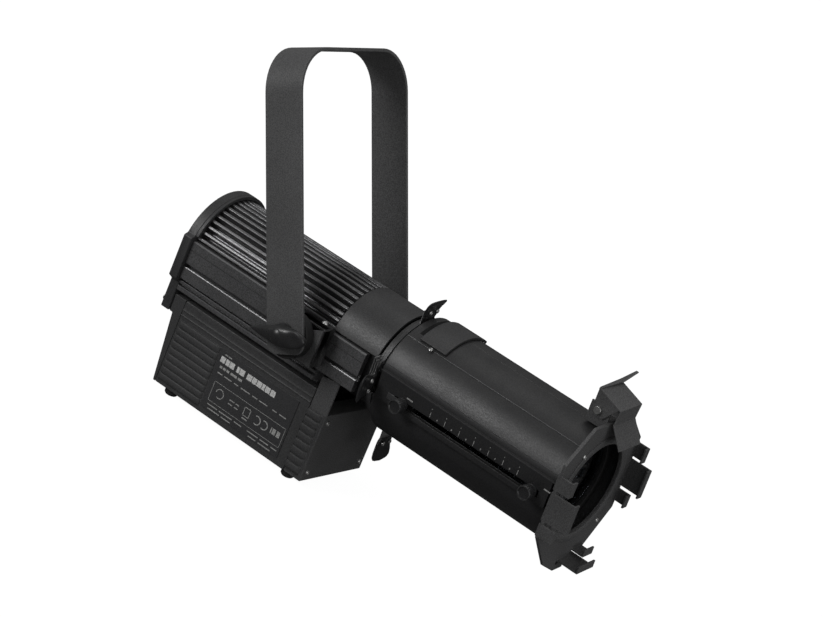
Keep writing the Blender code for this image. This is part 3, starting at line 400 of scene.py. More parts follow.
# ================================================================ gate cover and rear cap
# A smooth curved cover closes the gate end of the extrusion, and a die-cast cap with side ears and a
# thick rim closes the rear. Both are powder coated satin black over a fine grain.
powder = coating("satin_powder_coat", (0.024, 0.024, 0.025), 0.40, grain=1000.0, bump=0.00009, edge_wear_and_highlight=0.30,
                 dust=0.10)
cast = coating("cast_powder_coat", (0.088, 0.088, 0.089), 0.52, grain=700.0, bump=0.00014, edge_wear_and_highlight=0.35,
               dust=0.08)
cover_coat = coating("cover_powder_coat", (0.042, 0.042, 0.043), 0.40, grain=1000.0, bump=0.00009, edge_wear_and_highlight=0.30,
                     dust=0.10)
rounded("gate_cover", cover_coat, 0.5, least_deg=40.0)
rounded("rear_cap", cover_coat, 0.9, segments=3, least_deg=26.0)
rounded("gate_drum", powder, 0.4)
DOME_RISE = 2.3
LIP_IN, LIP_OUT = 49.0, 52.2
LIP_FRONT, LIP_REAR = 178.6, 181.7
rim = np.radians(np.linspace(15.5, 164.5, 61))
rim_outline = [(r * math.cos(t), DOME_RISE + r * math.sin(t))
               for r, turns in ((LIP_OUT, rim), (LIP_IN, rim[::-1])) for t in turns]
build("cap_lip", [loft(in_house(along_y(rim_outline, (LIP_FRONT, LIP_REAR))))], cover_coat, "housing",
      edges=0.5)


# ================================================================ driver housing
# A folded steel box under the extrusion holds the driver. Its flanks carry two groups of pressed
# louvres, with fine ledges under the lamp house; the front end is a casting with two upright cheeks.
LOUVRE_TOP, LOUVRE_BOTTOM = -59.5, -118.5
LOUVRE_DEEP = 1.7
BASE_HALF_W = 46.5
SKIN = 0.22


def louvre_heights(y, z, first, last, count):
    """Height of a group of louvres between two distances along y: flat-topped round bars with narrow
    grooves between them, their two ends rounded off like a thumb."""
    pitch = (LOUVRE_TOP - LOUVRE_BOTTOM) / count
    phase = (LOUVRE_TOP - z) / pitch
    inside = (phase > 0) & (phase < count)
    share = phase - np.floor(phase)
    swell = np.interp(share, (0.0, 0.09, 0.24, 0.76, 0.91, 1.0), (0.0, 0.80, 1.0, 1.0, 0.80, 0.0))
    end = 3.2
    near = np.clip(np.minimum(y - first, last - y) / end, 0.0, 1.0)
    return np.where(inside, swell * np.sqrt(1.0 - (1.0 - near) ** 2), 0.0) * LOUVRE_DEEP


def ledge_heights(z):
    """Two fine ledges that run the whole length just under the lamp house."""
    return 0.9 * np.exp(-((z + 50.0) / 0.55) ** 2) + 0.7 * np.exp(-((z + 55.0) / 0.5) ** 2)


def lines_for(breaks, low, high, step):
    """Lattice lines from low to high, a step apart, with extra ones at and beside each break."""
    extra = np.concatenate([np.asarray(breaks) + d for d in (-0.35, 0.0, 0.35)])
    every = np.concatenate([np.arange(low, high, step), [high], extra])
    every = np.unique(np.round(every[(every >= low) & (every <= high)], 2))
    return every[np.concatenate([[True], np.diff(every) > 0.12])]


def skinned(low_y, high_y, low_z, high_z, heights, breaks_y, breaks_z, sign):
    """A raised panel on a flank: the lattice of heights, closed by a skirt and a flat back."""
    ys = lines_for(breaks_y, low_y, high_y, 3.0)
    zs = lines_for(breaks_z, low_z, high_z, 1.2)
    y, z = np.meshgrid(ys, zs, indexing="ij")
    x = BASE_HALF_W + SKIN + heights(y, z)
    front = np.stack([x * sign, y, z], axis=-1)
    points, faces = backed(front, 0, (BASE_HALF_W - 0.2) * sign)
    return in_house(points), faces


REAR_LOUVRES = (116.0, 166.5, 9)
FRONT_LOUVRES = (-4.0, 13.5, 8)
REAR_PANEL = (12.4, 167.6, -121.5, -43.0)
FRONT_PANEL = (-6.5, 11.3, -121.5, -58.6)
housing_coat = coating("housing_powder_coat", (0.056, 0.056, 0.057), 0.5, grain=900.0, bump=0.00010,
                       edge_wear_and_highlight=0.3, dust=0.08)
rounded("driver_housing", housing_coat, 1.0)
rounded("front_casting", cast, 1.0, segments=3)
rounded("rear_panel", housing_coat, 0.6)


def flank_rear(y, z):
    """Rear part of the flank: louvres and ledges."""
    return louvre_heights(y, z, *REAR_LOUVRES) + ledge_heights(z)


def flank_front(y, z):
    """Front part of the flank, on the casting: the short louvres only."""
    return louvre_heights(y, z, *FRONT_LOUVRES)


def lips(count):
    """Heights of the edges of each louvre in a group of that many."""
    pitch = (LOUVRE_TOP - LOUVRE_BOTTOM) / count
    return [LOUVRE_TOP - pitch * (k + s) for k in range(count) for s in (0.0, 0.09, 0.91)]


ledges = [-49.6, -50.4, -54.7, -55.3]
end_steps = [0.3, 1.0, 2.2]
for hand, sign in (("left", -1.0), ("right", 1.0)):
    rear_ends = [REAR_LOUVRES[0] + s for s in end_steps] + [REAR_LOUVRES[1] - s for s in end_steps]
    flank = skinned(*REAR_PANEL, flank_rear, rear_ends, lips(REAR_LOUVRES[2]) + ledges, sign)
    front_ends = [FRONT_LOUVRES[0] + s for s in end_steps] + [FRONT_LOUVRES[1] - s for s in end_steps]
    nose = skinned(*FRONT_PANEL, flank_front, front_ends, lips(FRONT_LOUVRES[2]), sign)
    build(f"flank_panel_{hand}", [flank], housing_coat, "housing", sharp_deg=38.0)
    build(f"flank_nose_{hand}", [nose], housing_coat, "housing", sharp_deg=38.0)


# ================================================================ rating plate
# A printed film on the left flank. The real wording is left out: a white row of plain bars stands
# for the title, and grey bars, a ruled frame and round and square tokens for the small print.
film = coating("rating_film", (0.050, 0.050, 0.052), 0.40, grain=2400.0, bump=0.00001)
print_white = coating("printed_white", (0.74, 0.74, 0.73), 0.55, grain=2600.0, bump=0.00001)
rounded("rating_plate", film, 0.15)
PLATE_FACE = -47.4


def slabs(rows):
    """Boxes from rows of (x low, x high, y low, y high, z low, z high): all corners at once."""
    rows = np.asarray(rows, float)
    pick = np.array([(0, 2, 4), (1, 2, 4), (1, 3, 4), (0, 3, 4), (0, 2, 5), (1, 2, 5), (1, 3, 5), (0, 3, 5)])
    corners = rows[:, pick].reshape(-1, 3)
    sides = np.array([(0, 3, 2, 1), (4, 5, 6, 7), (0, 1, 5, 4), (1, 2, 6, 5), (2, 3, 7, 6), (3, 0, 4, 7)])
    return corners, list((sides[None] + 8 * np.arange(len(rows))[:, None, None]).reshape(-1, 4))


def bars(bottom, top, starts_and_lengths):
    """Printed bars on the plate between two heights, each running forwards from its start."""
    return [(PLATE_FACE - 0.03, PLATE_FACE + 0.05, start - length, start, bottom, top)
            for start, length in starts_and_lengths]


def frame_bars(front, rear, bottom, top, line):
    """A ruled rectangle as four bars."""
    whole = [(rear, rear - front)]
    return (bars(top - line, top, whole) + bars(bottom, bottom + line, whole)
            + bars(bottom, top, [(rear, line), (front + line, line)]))


title = [(112.0, 5.2), (105.8, 4.0), (101.2, 5.4), (92.6, 3.0), (89.0, 5.4), (80.4, 5.8), (74.0, 4.8),
         (68.4, 5.4), (62.4, 3.2), (58.4, 5.2), (52.4, 5.4)]
small = [(110.0, 6.0), (102.0, 9.0), (90.0, 5.0), (82.0, 11.0),
         (68.0, 6.0), (60.0, 10.0), (44.0, 5.0), (36.0, 8.0)]
fine = [(108.0, 12.0), (94.0, 16.0), (75.5, 9.0), (60.0, 13.0), (44.5, 10.0), (31.5, 7.0)]
marks = bars(-63.4, -62.4, [(109.0, 3.0), (105.2, 4.0)])
marks += bars(-76.2, -74.0, [(110.0, 3.0), (106.0, 3.0), (102.0, 3.2), (97.0, 7.5), (88.0, 4.5)])
marks += bars(-81.4, -80.5, small)
marks += frame_bars(24.0, 109.0, -108.0, -89.0, 0.35)
marks += bars(-96.8, -95.9, [(88.0, 6.0), (80.5, 4.0)]) + bars(-100.4, -99.5, [(88.0, 5.0), (81.0, 4.5)])
marks += bars(-100.5, -95.0, [(38.0, 1.1), (36.0, 3.6), (31.0, 3.6)])
marks += frame_bars(63.0, 70.5, -101.5, -93.0, 0.7) + bars(-104.3, -103.2, [(70.0, 6.4)])
marks += bars(-111.8, -110.9, fine)
marks += bars(-115.4, -114.5, [(106.0, 14.0), (90.0, 11.0), (57.0, 9.0), (45.0, 14.0)])


def loops(centre_y, centre_z, radius, line, start_deg, end_deg, count):
    """A printed ring or part of one: a flat band bent round a centre, one slab per step."""
    turn = np.radians(np.linspace(start_deg, end_deg, count))
    around = np.stack([np.cos(turn), np.sin(turn)], -1)
    inner = (radius - line) * around + (centre_y, centre_z)
    outer = radius * around + (centre_y, centre_z)
    section = np.stack([inner, outer, outer, inner], axis=1)
    made = np.empty((count, 4, 3))
    made[..., 1:] = section
    made[:, :2, 0], made[:, 2:, 0] = PLATE_FACE - 0.03, PLATE_FACE + 0.05
    return made


rings = [loft(in_house(loops(*sizes))) for sizes in (
    (99.5, -97.5, 4.6, 0.7, 0, 300, 28), (54.5, -98.0, 4.4, 1.0, 60, 300, 22),
    (46.0, -98.0, 4.4, 1.0, 60, 300, 22))]
print_grey = coating("printed_grey", (0.42, 0.42, 0.41), 0.55, grain=2600.0, bump=0.00001)
corners, sides = slabs(marks)
build("rating_marks", [(in_house(corners), sides)] + rings, print_grey, "housing")
corners, sides = slabs(bars(-71.0, -65.4, title))
build("rating_title", [(in_house(corners), sides)], print_white, "housing")


# ================================================================ feet and boards inside
# Four turned rubber feet under the corners. Inside the housing lie the driver board and its
# aluminium can, seen only through the sockets.
rubber = coating("black_rubber", (0.018, 0.018, 0.018), 0.72, grain=1400.0, bump=0.00012, dust=0.25)
for end in ("front", "rear"):
    for hand in ("left", "right"):
        rounded(f"foot_{end}_{hand}", rubber, 0.0)
board_green = coating("board_resist", (0.03, 0.16, 0.07), 0.35, grain=500.0, bump=0.00005)
aluminium = coating("mill_aluminium", (0.62, 0.62, 0.63), 0.34, grain=1200.0, bump=0.00003, metallic=1.0,
                    lines=3.0)
rounded("driver_board", board_green, 0.1)
rounded("driver_can", aluminium, 1.0)
rounded("led_heat_spreader", aluminium, 0.3)


# ================================================================ lamp and condenser
# A chip-on-board LED under yellow phosphor sits on the heat spreader, behind a domed condenser.
phosphor = coating("phosphor", (0.85, 0.62, 0.12), 0.45, grain=3000.0, bump=0.00002)
rounded("led_module", phosphor, 0.2)


def lens_glass(name, tint):
    """Clear optical glass with a faint coating tint that drifts over the face."""
    made, tree, shader = fresh_material(name)
    shader.inputs["Transmission Weight"].default_value = 1.0
    shader.inputs["IOR"].default_value = 1.52
    where = node(tree, "TexCoord").outputs["Object"]
    film_drift = node(tree, "TexNoise", [("Vector", where), ("Scale", 22.0), ("Detail", 2.0)])
    colour = mixed(tree, film_drift.outputs["Fac"], tint, (0.70, 0.74, 0.78))
    smear = spread(tree, film_drift.outputs["Fac"], 0.3, 0.7, 0.02, 0.06)
    tree.links.new(colour, shader.inputs["Base Color"])
    tree.links.new(smear, shader.inputs["Roughness"])
    return made


glass = lens_glass("coated_glass", (0.55, 0.62, 0.72))
for name in ("condenser_lens", "zoom_lens", "focus_lens"):
    rounded(name, glass, 0.0)


# ================================================================ rear fittings
# On the cap: a smoked display window, four rubber buttons and a steel safety eye. On the sloping
# panel: mains in and out, and data in and out, as plain round chassis sockets.
smoked = coating("smoked_window", (0.012, 0.013, 0.015), 0.10, grain=300.0, bump=0.000004, coat=0.6)
plastic = coating("moulded_plastic", (0.020, 0.020, 0.021), 0.40, grain=1700.0, bump=0.00005, dust=0.10)
rounded("display_window", smoked, 0.5)
for name in ("menu", "down", "up", "enter"):
    rounded(f"button_{name}", rubber, 0.0)


def brushed(name, colour, roughness):
    """Plated steel: fine scratches in two directions that change the gloss, and small dull spots."""
    made, tree, shader = fresh_material(name)
    shader.inputs["Metallic"].default_value = 1.0
    where = node(tree, "TexCoord").outputs["Object"]
    drawn = node(tree, "Mapping", [("Vector", where), ("Scale", (1.0, 1.0, 0.04))])
    scratches = node(tree, "TexNoise", [("Vector", drawn.outputs[0]), ("Scale", 2600.0), ("Detail", 2.0)])
    spots = node(tree, "TexNoise", [("Vector", where), ("Scale", 420.0), ("Detail", 4.0)])
    dull = spread(tree, spots.outputs["Fac"], 0.45, 0.75, roughness, min(roughness * 2.0, 0.7))
    tint = mixed(tree, spread(tree, spots.outputs["Fac"], 0.4, 0.8, 0.0, 0.6), colour,
                 tuple(c * 0.7 for c in colour))
    relief = node(tree, "Bump", [("Height", scratches.outputs["Fac"]), ("Distance", 0.00002)])
    tree.links.new(tint, shader.inputs["Base Color"])
    tree.links.new(dull, shader.inputs["Roughness"])
    tree.links.new(relief.outputs[0], shader.inputs["Normal"])
    return made


steel = brushed("plated_steel", (0.66, 0.66, 0.65), 0.26)
blade_steel = brushed("stainless_blade", (0.60, 0.60, 0.60), 0.34)
rounded("safety_lug", steel, 0.5)
for name in ("power_inlet", "power_outlet", "data_inlet", "data_outlet"):
    rounded(name, plastic, 0.3)


# ================================================================ screws on the lamp house
# Plated cross-head screws: one on top of each pivot block, eight round the rear cap, two in each
# cheek of the front casting. A pan head with a cross-shaped recess.
def screw_head(radius, height):
    """A pan head on a square lattice bent into a disc. Its height is the dome less a cross-shaped
    recess with soft walls; a skirt and a flat underside close it. Local z is outwards."""
    line = np.linspace(-1, 1, 29)
    u, v = np.meshgrid(line, line, indexing="ij")
    x, y = u * np.sqrt(1 - v * v / 2), v * np.sqrt(1 - u * u / 2)
    far = np.clip(np.hypot(x, y), 0, 1)
    dome = (1 - far ** 2.6) ** 0.55
    arm = np.clip((0.17 - np.minimum(np.abs(x), np.abs(y))) / 0.10, 0, 1)
    reach = np.clip((0.62 - far) / 0.16, 0, 1)
    z = height * (0.25 + 0.75 * dome) - height * 0.75 * arm * reach
    return backed(np.stack([x * radius, y * radius, z], axis=-1), 2, 0.0)


def facing(points, at, out, turn_deg=20.0):
    """Moves local points so that their z looks along out from the place at, in mm."""
    out = np.asarray(out, float) / np.linalg.norm(out)
    side = np.cross((0.0, 1.0, 0.0) if abs(out[1]) < 0.9 else (1.0, 0.0, 0.0), out)
    side /= np.linalg.norm(side)
    other = np.cross(out, side)
    t = math.radians(turn_deg)
    a, b = side * math.cos(t) + other * math.sin(t), other * math.cos(t) - side * math.sin(t)
    return np.asarray(at, float) + points[:, :1] * a + points[:, 1:2] * b + points[:, 2:3] * out


def screws(places, into):
    """Screw heads at rows of (place, outward direction, radius, turn), through a frame function."""
    made = []
    for at, out, radius, turn in places:
        points, faces = screw_head(radius, radius * 0.62)
        made.append((into(facing(points, at, out, turn)), faces))
    return made


CAP_REAR = 190.8
house_screws = []
for sign in (-1, 1):
    house_screws.append(((sign * 55.2, 24.0, 16.5), (0, 0, 1), 3.0, 25.0 * sign))
    house_screws.append(((sign * 30.0, CAP_REAR, 38.0), (0, 1, 0), 2.4, 70.0))
    house_screws += [((sign * 46.0, CAP_REAR, z), (0, 1, 0), 2.4, 35.0 + z) for z in (5.0, -20.0, -50.0)]
    house_screws += [((sign * 40.0, -7.5, z), (0, -1, 0), 2.2, 10.0 + z) for z in (-66.0, -115.0)]
build("house_screws", screws(house_screws, in_house), steel, "housing", sharp_deg=50.0)


# ================================================================ pivot blocks and friction discs
# Cast blocks clamp into the side rails and carry the yoke; a ribbed friction disc sits between each
# block and the yoke's leg.
rounded("pivot_block_left", cast, 1.0, segments=3)
rounded("pivot_block_right", cast, 1.0, segments=3)
disc_plastic = coating("friction_disc_plastic", (0.010, 0.010, 0.010), 0.55, grain=1500.0, bump=0.00006)
rounded("friction_disc_left", disc_plastic, 0.6)
rounded("friction_disc_right", disc_plastic, 0.6)


# ================================================================ yoke
# Flat steel bar, 3 mm thick, bent to a hoop with two wide corners and rounded ends, powder coated.
# Handling has worn a hairline of bare metal along its edges, and the light edge colour also paints the
# highlight they catch.
yoke_paint = coating("yoke_powder_coat", (0.098, 0.098, 0.099), 0.52, grain=800.0, bump=0.00016, edge_wear_and_highlight=0.85,
                     dust=0.08, edge_wear_highlight_colour=(0.32, 0.32, 0.33))
rounded("yoke", yoke_paint, 0.45, least_deg=50.0)


# ================================================================ wing knobs
# Moulded hand knobs outside the yoke. Each is a domed hub with two wings: a long pointed one behind
# and a short blunt one in front, with a hollow on its face.
KNOB_BASE = 81.9
PIVOT = (41.0, -1.5)
WING_TURN = math.radians(15.0)
knob_plastic = coating("knob_plastic", (0.022, 0.022, 0.023), 0.30, grain=1500.0, bump=0.00004, dust=0.06,
                       coat=0.2)


def wings(sign):
    """A superellipse section carried along the wings: its half width falls slowly to the blunt front
    tip and steadily to the pointed rear one, and its crest falls from the hub's crown to both."""
    along = np.concatenate([np.linspace(-26, -22, 8), np.linspace(-20, 24, 22), np.linspace(25.5, 31, 6)])
    far = np.where(along < 0, along / -26, along / 31)
    half = np.where(along < 0, 9.0 * (1 - far ** 3.2) ** 0.5, 9.0 * (1 - far ** 1.1) ** 0.95) + 0.25
    crest = 3.5 + 10.5 * np.sqrt(np.clip(1 - (far * 0.93) ** 2, 0, 1))
    base = 1.2 + 2.2 * far
    turn = np.linspace(0, 2 * np.pi, 28, endpoint=False)
    c, s = np.cos(turn), np.sin(turn)
    ring_w = np.sign(c) * np.abs(c) ** 0.75
    ring_h = np.sign(s) * np.abs(s) ** 0.85
    hollow = 2.6 * np.exp(-((along + 17.0) / 4.0) ** 2)
    across = half[:, None] * ring_w
    out = (base + crest)[:, None] / 2 + (crest - base)[:, None] / 2 * ring_h
    out -= hollow[:, None] * np.clip(ring_h, 0, 1) * (1 - np.abs(ring_w)) ** 0.5
    run = np.broadcast_to(along[:, None], across.shape)
    y = PIVOT[0] + run * math.cos(WING_TURN) + across * math.sin(WING_TURN)
    z = PIVOT[1] - run * math.sin(WING_TURN) + across * math.cos(WING_TURN)
    return np.stack([sign * (KNOB_BASE + out), y, z], axis=-1)


def spun(profile, at, out, steps=40):
    """A profile of (radius, distance) rows turned once round the axis out from at, ends closed."""
    profile = np.asarray(profile, float)
    turn = np.linspace(0, 2 * np.pi, steps, endpoint=False)
    local = np.stack([profile[:, :1] * np.cos(turn), profile[:, :1] * np.sin(turn),
                      np.broadcast_to(profile[:, 1:], (len(profile), steps))], axis=-1)
    return facing(local.reshape(-1, 3), at, out, 0.0).reshape(len(profile), steps, 3)


for hand, sign in (("left", -1.0), ("right", 1.0)):
    hub = [(0.02, 0.0), (10.0, 0.0), (10.4, 0.8), (10.4, 3.0), (9.6, 6.5), (8.6, 10.0), (6.8, 12.8),
           (4.0, 14.6), (1.5, 15.0), (0.02, 15.05)]
    stud = [(0.02, -20.0), (3.9, -20.0), (3.9, -0.1), (0.02, -0.1)]
    at = (sign * KNOB_BASE, PIVOT[0], PIVOT[1])
    parts = [loft(in_house(wings(sign))), loft(in_house(spun(hub, at, (sign, 0, 0)))),
             loft(in_house(spun(stud, at, (sign, 0, 0), 24)))]
    knob = build(f"wing_knob_{hand}_finished", parts, knob_plastic, f"wing_knob_{hand}")
    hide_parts(f"wing_knob_{hand}")


# ================================================================ shutter cassette
# A shallow pressed cup with a slotted rim turns with the barrel; its cover ring holds four thin
# stainless framing blades on four levels. Each blade's tang carries a moulded leaf grip on a screw.
ROLL = math.radians(-6.0)


def on_barrel(points):
    """Barrel millimetres, rolled with the barrel, to metres in the shared frame."""
    p = np.asarray(points, float)
    c, s = math.cos(ROLL), math.sin(ROLL)
    turned = np.stack([p[..., 0] * c + p[..., 2] * s, p[..., 1], p[..., 2] * c - p[..., 0] * s], axis=-1)
    return in_house(turned)


# Coat whose edges turn light: real wear and a painted edge highlight.
worn_highlit_edge_coat = coating("edge_worn_and_highlit_coat", (0.040, 0.040, 0.041), 0.40, grain=1000.0, bump=0.00008, edge_wear_and_highlight=0.9)
rounded("shutter_cassette", worn_highlit_edge_coat, 0.25)
rounded("cassette_cover", powder, 0.25)
grip_plastic = coating("grip_plastic", (0.024, 0.024, 0.025), 0.34, grain=1600.0, bump=0.00005, dust=0.06,
                       coat=0.1)

GRIP_LEVEL = -39.6
# Each grip's forward tilt, the height of its foot from the axis and its own height.
GRIPS = {"top": (5.0, 56.0, 17.0), "left": (5.0, 56.0, 23.0),
         "bottom": (2.0, 66.5, 23.0), "right": (5.0, 56.0, 23.0)}


def leaf(tilt, foot, tall):
    """The leaf grip in its own frame, tang upwards: a superellipse section whose half width swells
    and closes over the tip, bent forwards by the tilt and dished on its front face."""
    v = np.linspace(0, 1, 26)
    half_w = np.interp(v, (0, 0.10, 0.35, 0.6, 0.8, 0.92, 0.98, 1.0),
                       (7.4, 8.8, 10.6, 12.4, 12.5, 10.6, 7.0, 1.0))
    half_t = np.interp(v, (0, 0.15, 0.5, 0.85, 1.0), (2.6, 2.6, 1.6, 1.7, 0.4))
    height = foot + tall * v
    bend = -tilt * v ** 1.8
    turn = np.linspace(0, 2 * np.pi, 32, endpoint=False)
    c, s = np.cos(turn), np.sin(turn)
    x = half_w[:, None] * np.sign(c) * np.abs(c) ** 0.8
    y = half_t[:, None] * np.sign(s) * np.abs(s) ** 0.8
    dish = 1.1 * np.sin(np.pi * v)[:, None] * (1 - (x / 12.5) ** 2)
    y = y + bend[:, None] + dish
    z = np.broadcast_to(height[:, None], x.shape)
    return np.stack([x, y + GRIP_LEVEL, z], axis=-1)


def about_axis(points, quarter):
    """Turns barrel points about the optical axis by quarter turns, top to left to bottom to right."""
    t = math.radians(90.0 * quarter)
    p = np.asarray(points, float)
    c, s = math.cos(t), math.sin(t)
    return np.stack([p[..., 0] * c - p[..., 2] * s, p[..., 1], p[..., 2] * c + p[..., 0] * s], axis=-1)


for quarter, (side, sizes) in enumerate(GRIPS.items()):
    rounded(f"shutter_blade_{side}", blade_steel, 0.0)
    shape = loft(on_barrel(about_axis(leaf(*sizes), quarter)))
    grip = build(f"shutter_grip_{side}_finished", [shape], grip_plastic, f"shutter_{side}")
    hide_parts(f"shutter_grip_{side}")
    heads = []
    for x in (-5.0, 5.0):
        points, faces = screw_head(2.1, 1.3)
        placed = facing(points, (x, GRIP_LEVEL - 2.4, sizes[1] + 4.5), (0, -1, 0), 30.0 * x)
        heads.append((on_barrel(about_axis(placed, quarter)), faces))
    build(f"grip_screws_{side}", heads, steel, f"shutter_{side}", sharp_deg=50.0)
corners, sides = slabs([(-59.0 + k, -50.0, y, y + 0.5, 5.0, 25.0 - 2.0 * k)
                        for k, y in enumerate((-36.9, -38.5, -40.1))])
build("shutter_edges_left", [(on_barrel(corners), sides)], blade_steel, "shutter_left", edges=0.15)


# ================================================================ lens barrel
# Two extruded half shells meet top and bottom. A raised bead runs along each shoulder, and the
# left flank is flattened for the slotted scale track that the two thumb knobs slide in.
rounded("barrel_shell_left", powder, 0.3, least_deg=40.0)
rounded("barrel_shell_right", powder, 0.3, least_deg=40.0)
track_coat = coating("track_anodising", (0.030, 0.030, 0.031), 0.44, grain=1500.0, bump=0.00004, dust=0.08,
                     metallic=0.2)
rounded("scale_track", track_coat, 0.35)
BARREL_REAR, BARREL_FRONT, BARREL_R = -43.4, -232.4, 55.0


def bead(angle_deg, radius, half, high, first=BARREL_REAR - 0.6, last=BARREL_FRONT + 0.6):
    """A half-round bead along the barrel at an angle from its top, towards the left."""
    turn = np.linspace(0, np.pi, 7)
    across = half * np.cos(turn)
    up = high * np.sin(turn)
    t = math.radians(angle_deg)
    x = -(radius + up) * math.sin(t) - across * math.cos(t)
    z = (radius + up) * math.cos(t) - across * math.sin(t)
    foot_x, foot_z = -(radius - 0.4) * math.sin(t), (radius - 0.4) * math.cos(t)
    outline = np.concatenate([np.stack([x, z], -1), [(foot_x, foot_z)]])
    return loft(on_barrel(along_y(outline, (first, last))))


# A lighter, glossier coat for the shoulder beads, the track's edge strip, the knob rims and the zoom slider:
# a painted highlight along them.
highlight_trim_coat = coating("painted_highlight_trim", (0.075, 0.075, 0.077), 0.34, grain=1500.0, bump=0.00003, metallic=0.3)
shoulders = [bead(a, BARREL_R, 0.55, 0.5) for a in (35.0, -35.0)]
build("barrel_beads", shoulders, highlight_trim_coat, "barrel")
build("track_beads", [bead(66.5, BARREL_R, 0.35, 0.30)], powder, "barrel")
TRACK_FACE = -56.1
ticks = []
for i in range(7):
    y = -103.0 - 15.6 * i
    ticks.append((TRACK_FACE - 0.04, TRACK_FACE + 0.05, y - 0.25, y + 0.25, 4.4, 9.0))
    ticks.append((TRACK_FACE - 0.04, TRACK_FACE + 0.05, y - 0.3, y + 0.3, 11.6, 12.4))
    if i < 6:
        ticks.append((TRACK_FACE - 0.04, TRACK_FACE + 0.05, y - 8.2, y - 7.4, 5.0, 6.4))
for y in (-76.8, -224.0):
    ticks.append((TRACK_FACE - 0.04, TRACK_FACE + 0.05, y - 6.5, y, 7.0, 8.2))
corners, sides = slabs(ticks)
build("scale_marks", [(on_barrel(corners), sides)], print_grey, "barrel")
# A light strip along the track's upper edge: a painted highlight.
edge = (TRACK_FACE - 0.08, TRACK_FACE + 0.5, BARREL_FRONT + 1, BARREL_REAR - 1, 16.9, 17.5)
corners, sides = slabs([edge])
build("track_edge", [(on_barrel(corners), sides)], highlight_trim_coat, "barrel")


# ================================================================ saddle over the accessory slot
# A short curved strap bridges the slot in the barrel's roof and is held by a screw on each side.
# Near-black insets paint the shade in the open slot in front of it and in a narrow one beside it.
rounded("slot_saddle", cover_coat, 0.5, least_deg=40.0)
# Near-black coat for painted shade where an opening would look dark.
shade_black = coating("painted_slot_shade", (0.002, 0.002, 0.002), 0.9, grain=900.0, bump=0.00001)


def band(first_deg, last_deg, inner, outer, first_y, last_y):
    """Part of a ring about the barrel's axis between two angles from its top, towards the left."""
    turn = np.radians(np.linspace(first_deg, last_deg, 25))
    outline = [(-r * math.sin(t), r * math.cos(t))
               for r, turns in ((outer, turn), (inner, turn[::-1])) for t in turns]
    return loft(on_barrel(along_y(outline, (first_y, last_y))))


slot_shades = [band(-27, 27, 54.5, 55.12, -54.6, -50.2), band(30.0, 32.2, 56.0, 57.5, -78.0, -62.0)]
build("saddle_slot_shades", slot_shades, shade_black, "barrel")


# ================================================================ zoom and focus carriages
# Turned rings that slide inside the barrel, each locked by a thumb knob through the track's slot.
# The knob has a flat rimmed face and a coin-edged skirt over a plain collar.
# Near-black coat on the rings: a blackened finish, darkened further to paint the shade inside the bore.
blackened_and_bore_shade = coating("blackened_ring_and_bore_shade", (0.006, 0.006, 0.006), 0.75, grain=1500.0, bump=0.00004)
rounded("zoom_carriage", blackened_and_bore_shade, 0.4)
rounded("focus_carriage", blackened_and_bore_shade, 0.4)


def thumb_knob(y):
    """Profile turned about the knob's axis, with the skirt's radius rippled by a cosine."""
    profile = np.array([(0.02, 10.2), (4.2, 10.2), (4.9, 10.4), (5.3, 11.0), (6.0, 11.0), (6.5, 10.4),
                        (6.5, 5.4), (5.6, 4.6), (5.2, 4.2), (5.2, 1.2), (6.0, 0.9), (6.0, 0.0), (2.5, 0.0),
                        (2.5, -10.5), (0.02, -10.5)])
    steps = 96
    turn = np.linspace(0, 2 * np.pi, steps, endpoint=False)
    skirt = ((profile[:, 1] > 5.0) & (profile[:, 1] < 10.6) & (profile[:, 0] > 6.4)).astype(float)
    radius = profile[:, :1] - 0.16 * skirt[:, None] * (1 + np.cos(turn * 24))
    local = np.stack([radius * np.cos(turn), radius * np.sin(turn),
                      np.broadcast_to(profile[:, 1:], radius.shape)], axis=-1)
    placed = facing(local.reshape(-1, 3), (TRACK_FACE - 0.3, y, 0.0), (-1, 0, 0), 0.0)
    return placed.reshape(len(profile), steps, 3)


KNOB_STATIONS = {"zoom": -74.4, "focus": -213.4}
# Each knob's rim is in the lighter trim coat: a painted highlight on the rim.
KNOB_RIM = [(5.5, 11.5), (5.5, 10.9), (6.05, 10.9), (6.05, 11.5)]
rim_faces = list(quads(len(KNOB_RIM), 64, around=True, closed=True))
for name, y in KNOB_STATIONS.items():
    knob = build(f"{name}_knob_finished", [loft(on_barrel(thumb_knob(y)))], knob_plastic, f"{name}_knob")
    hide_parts(f"{name}_knob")
    rim = spun(KNOB_RIM, (TRACK_FACE - 0.1, y, 0.0), (-1, 0, 0), 64)
    build(f"{name}_knob_rim", [(on_barrel(rim).reshape(-1, 3), rim_faces)], highlight_trim_coat, f"{name}_knob")
# The zoom slider plate is in the lighter trim coat: a painted highlight.
corners, sides = slabs([(TRACK_FACE - 0.9, TRACK_FACE - 0.1, -68.0, -58.5, -2.8, 2.8)])
build("zoom_slider", [(on_barrel(corners), sides)], highlight_trim_coat, "zoom_carriage", edges=0.2)


# ================================================================ colour frame holder
# A folded steel plate on the nose with three tabs on each side and two below, and a near-black inset that
# paints the shade in the hole in its lower ear. A spun ring clamps the lens seat, and plated screws hold the
# plate.
rounded("frame_holder", cast, 0.35, least_deg=35.0)
ring_profile = [(43.4, 0.0), (50.5, 0.0), (50.5, 0.8), (49.8, 1.2), (44.6, 1.2), (43.4, 0.6)]
PLATE_FRONT = -235.7
ring = spun(ring_profile, (0.0, PLATE_FRONT, 0.0), (0, -1, 0), 96)
ring_faces = list(quads(len(ring_profile), 96, around=True, closed=True))
build("nose_ring", [(on_barrel(ring).reshape(-1, 3), ring_faces)], cast, "barrel",
      sharp_deg=30.0)
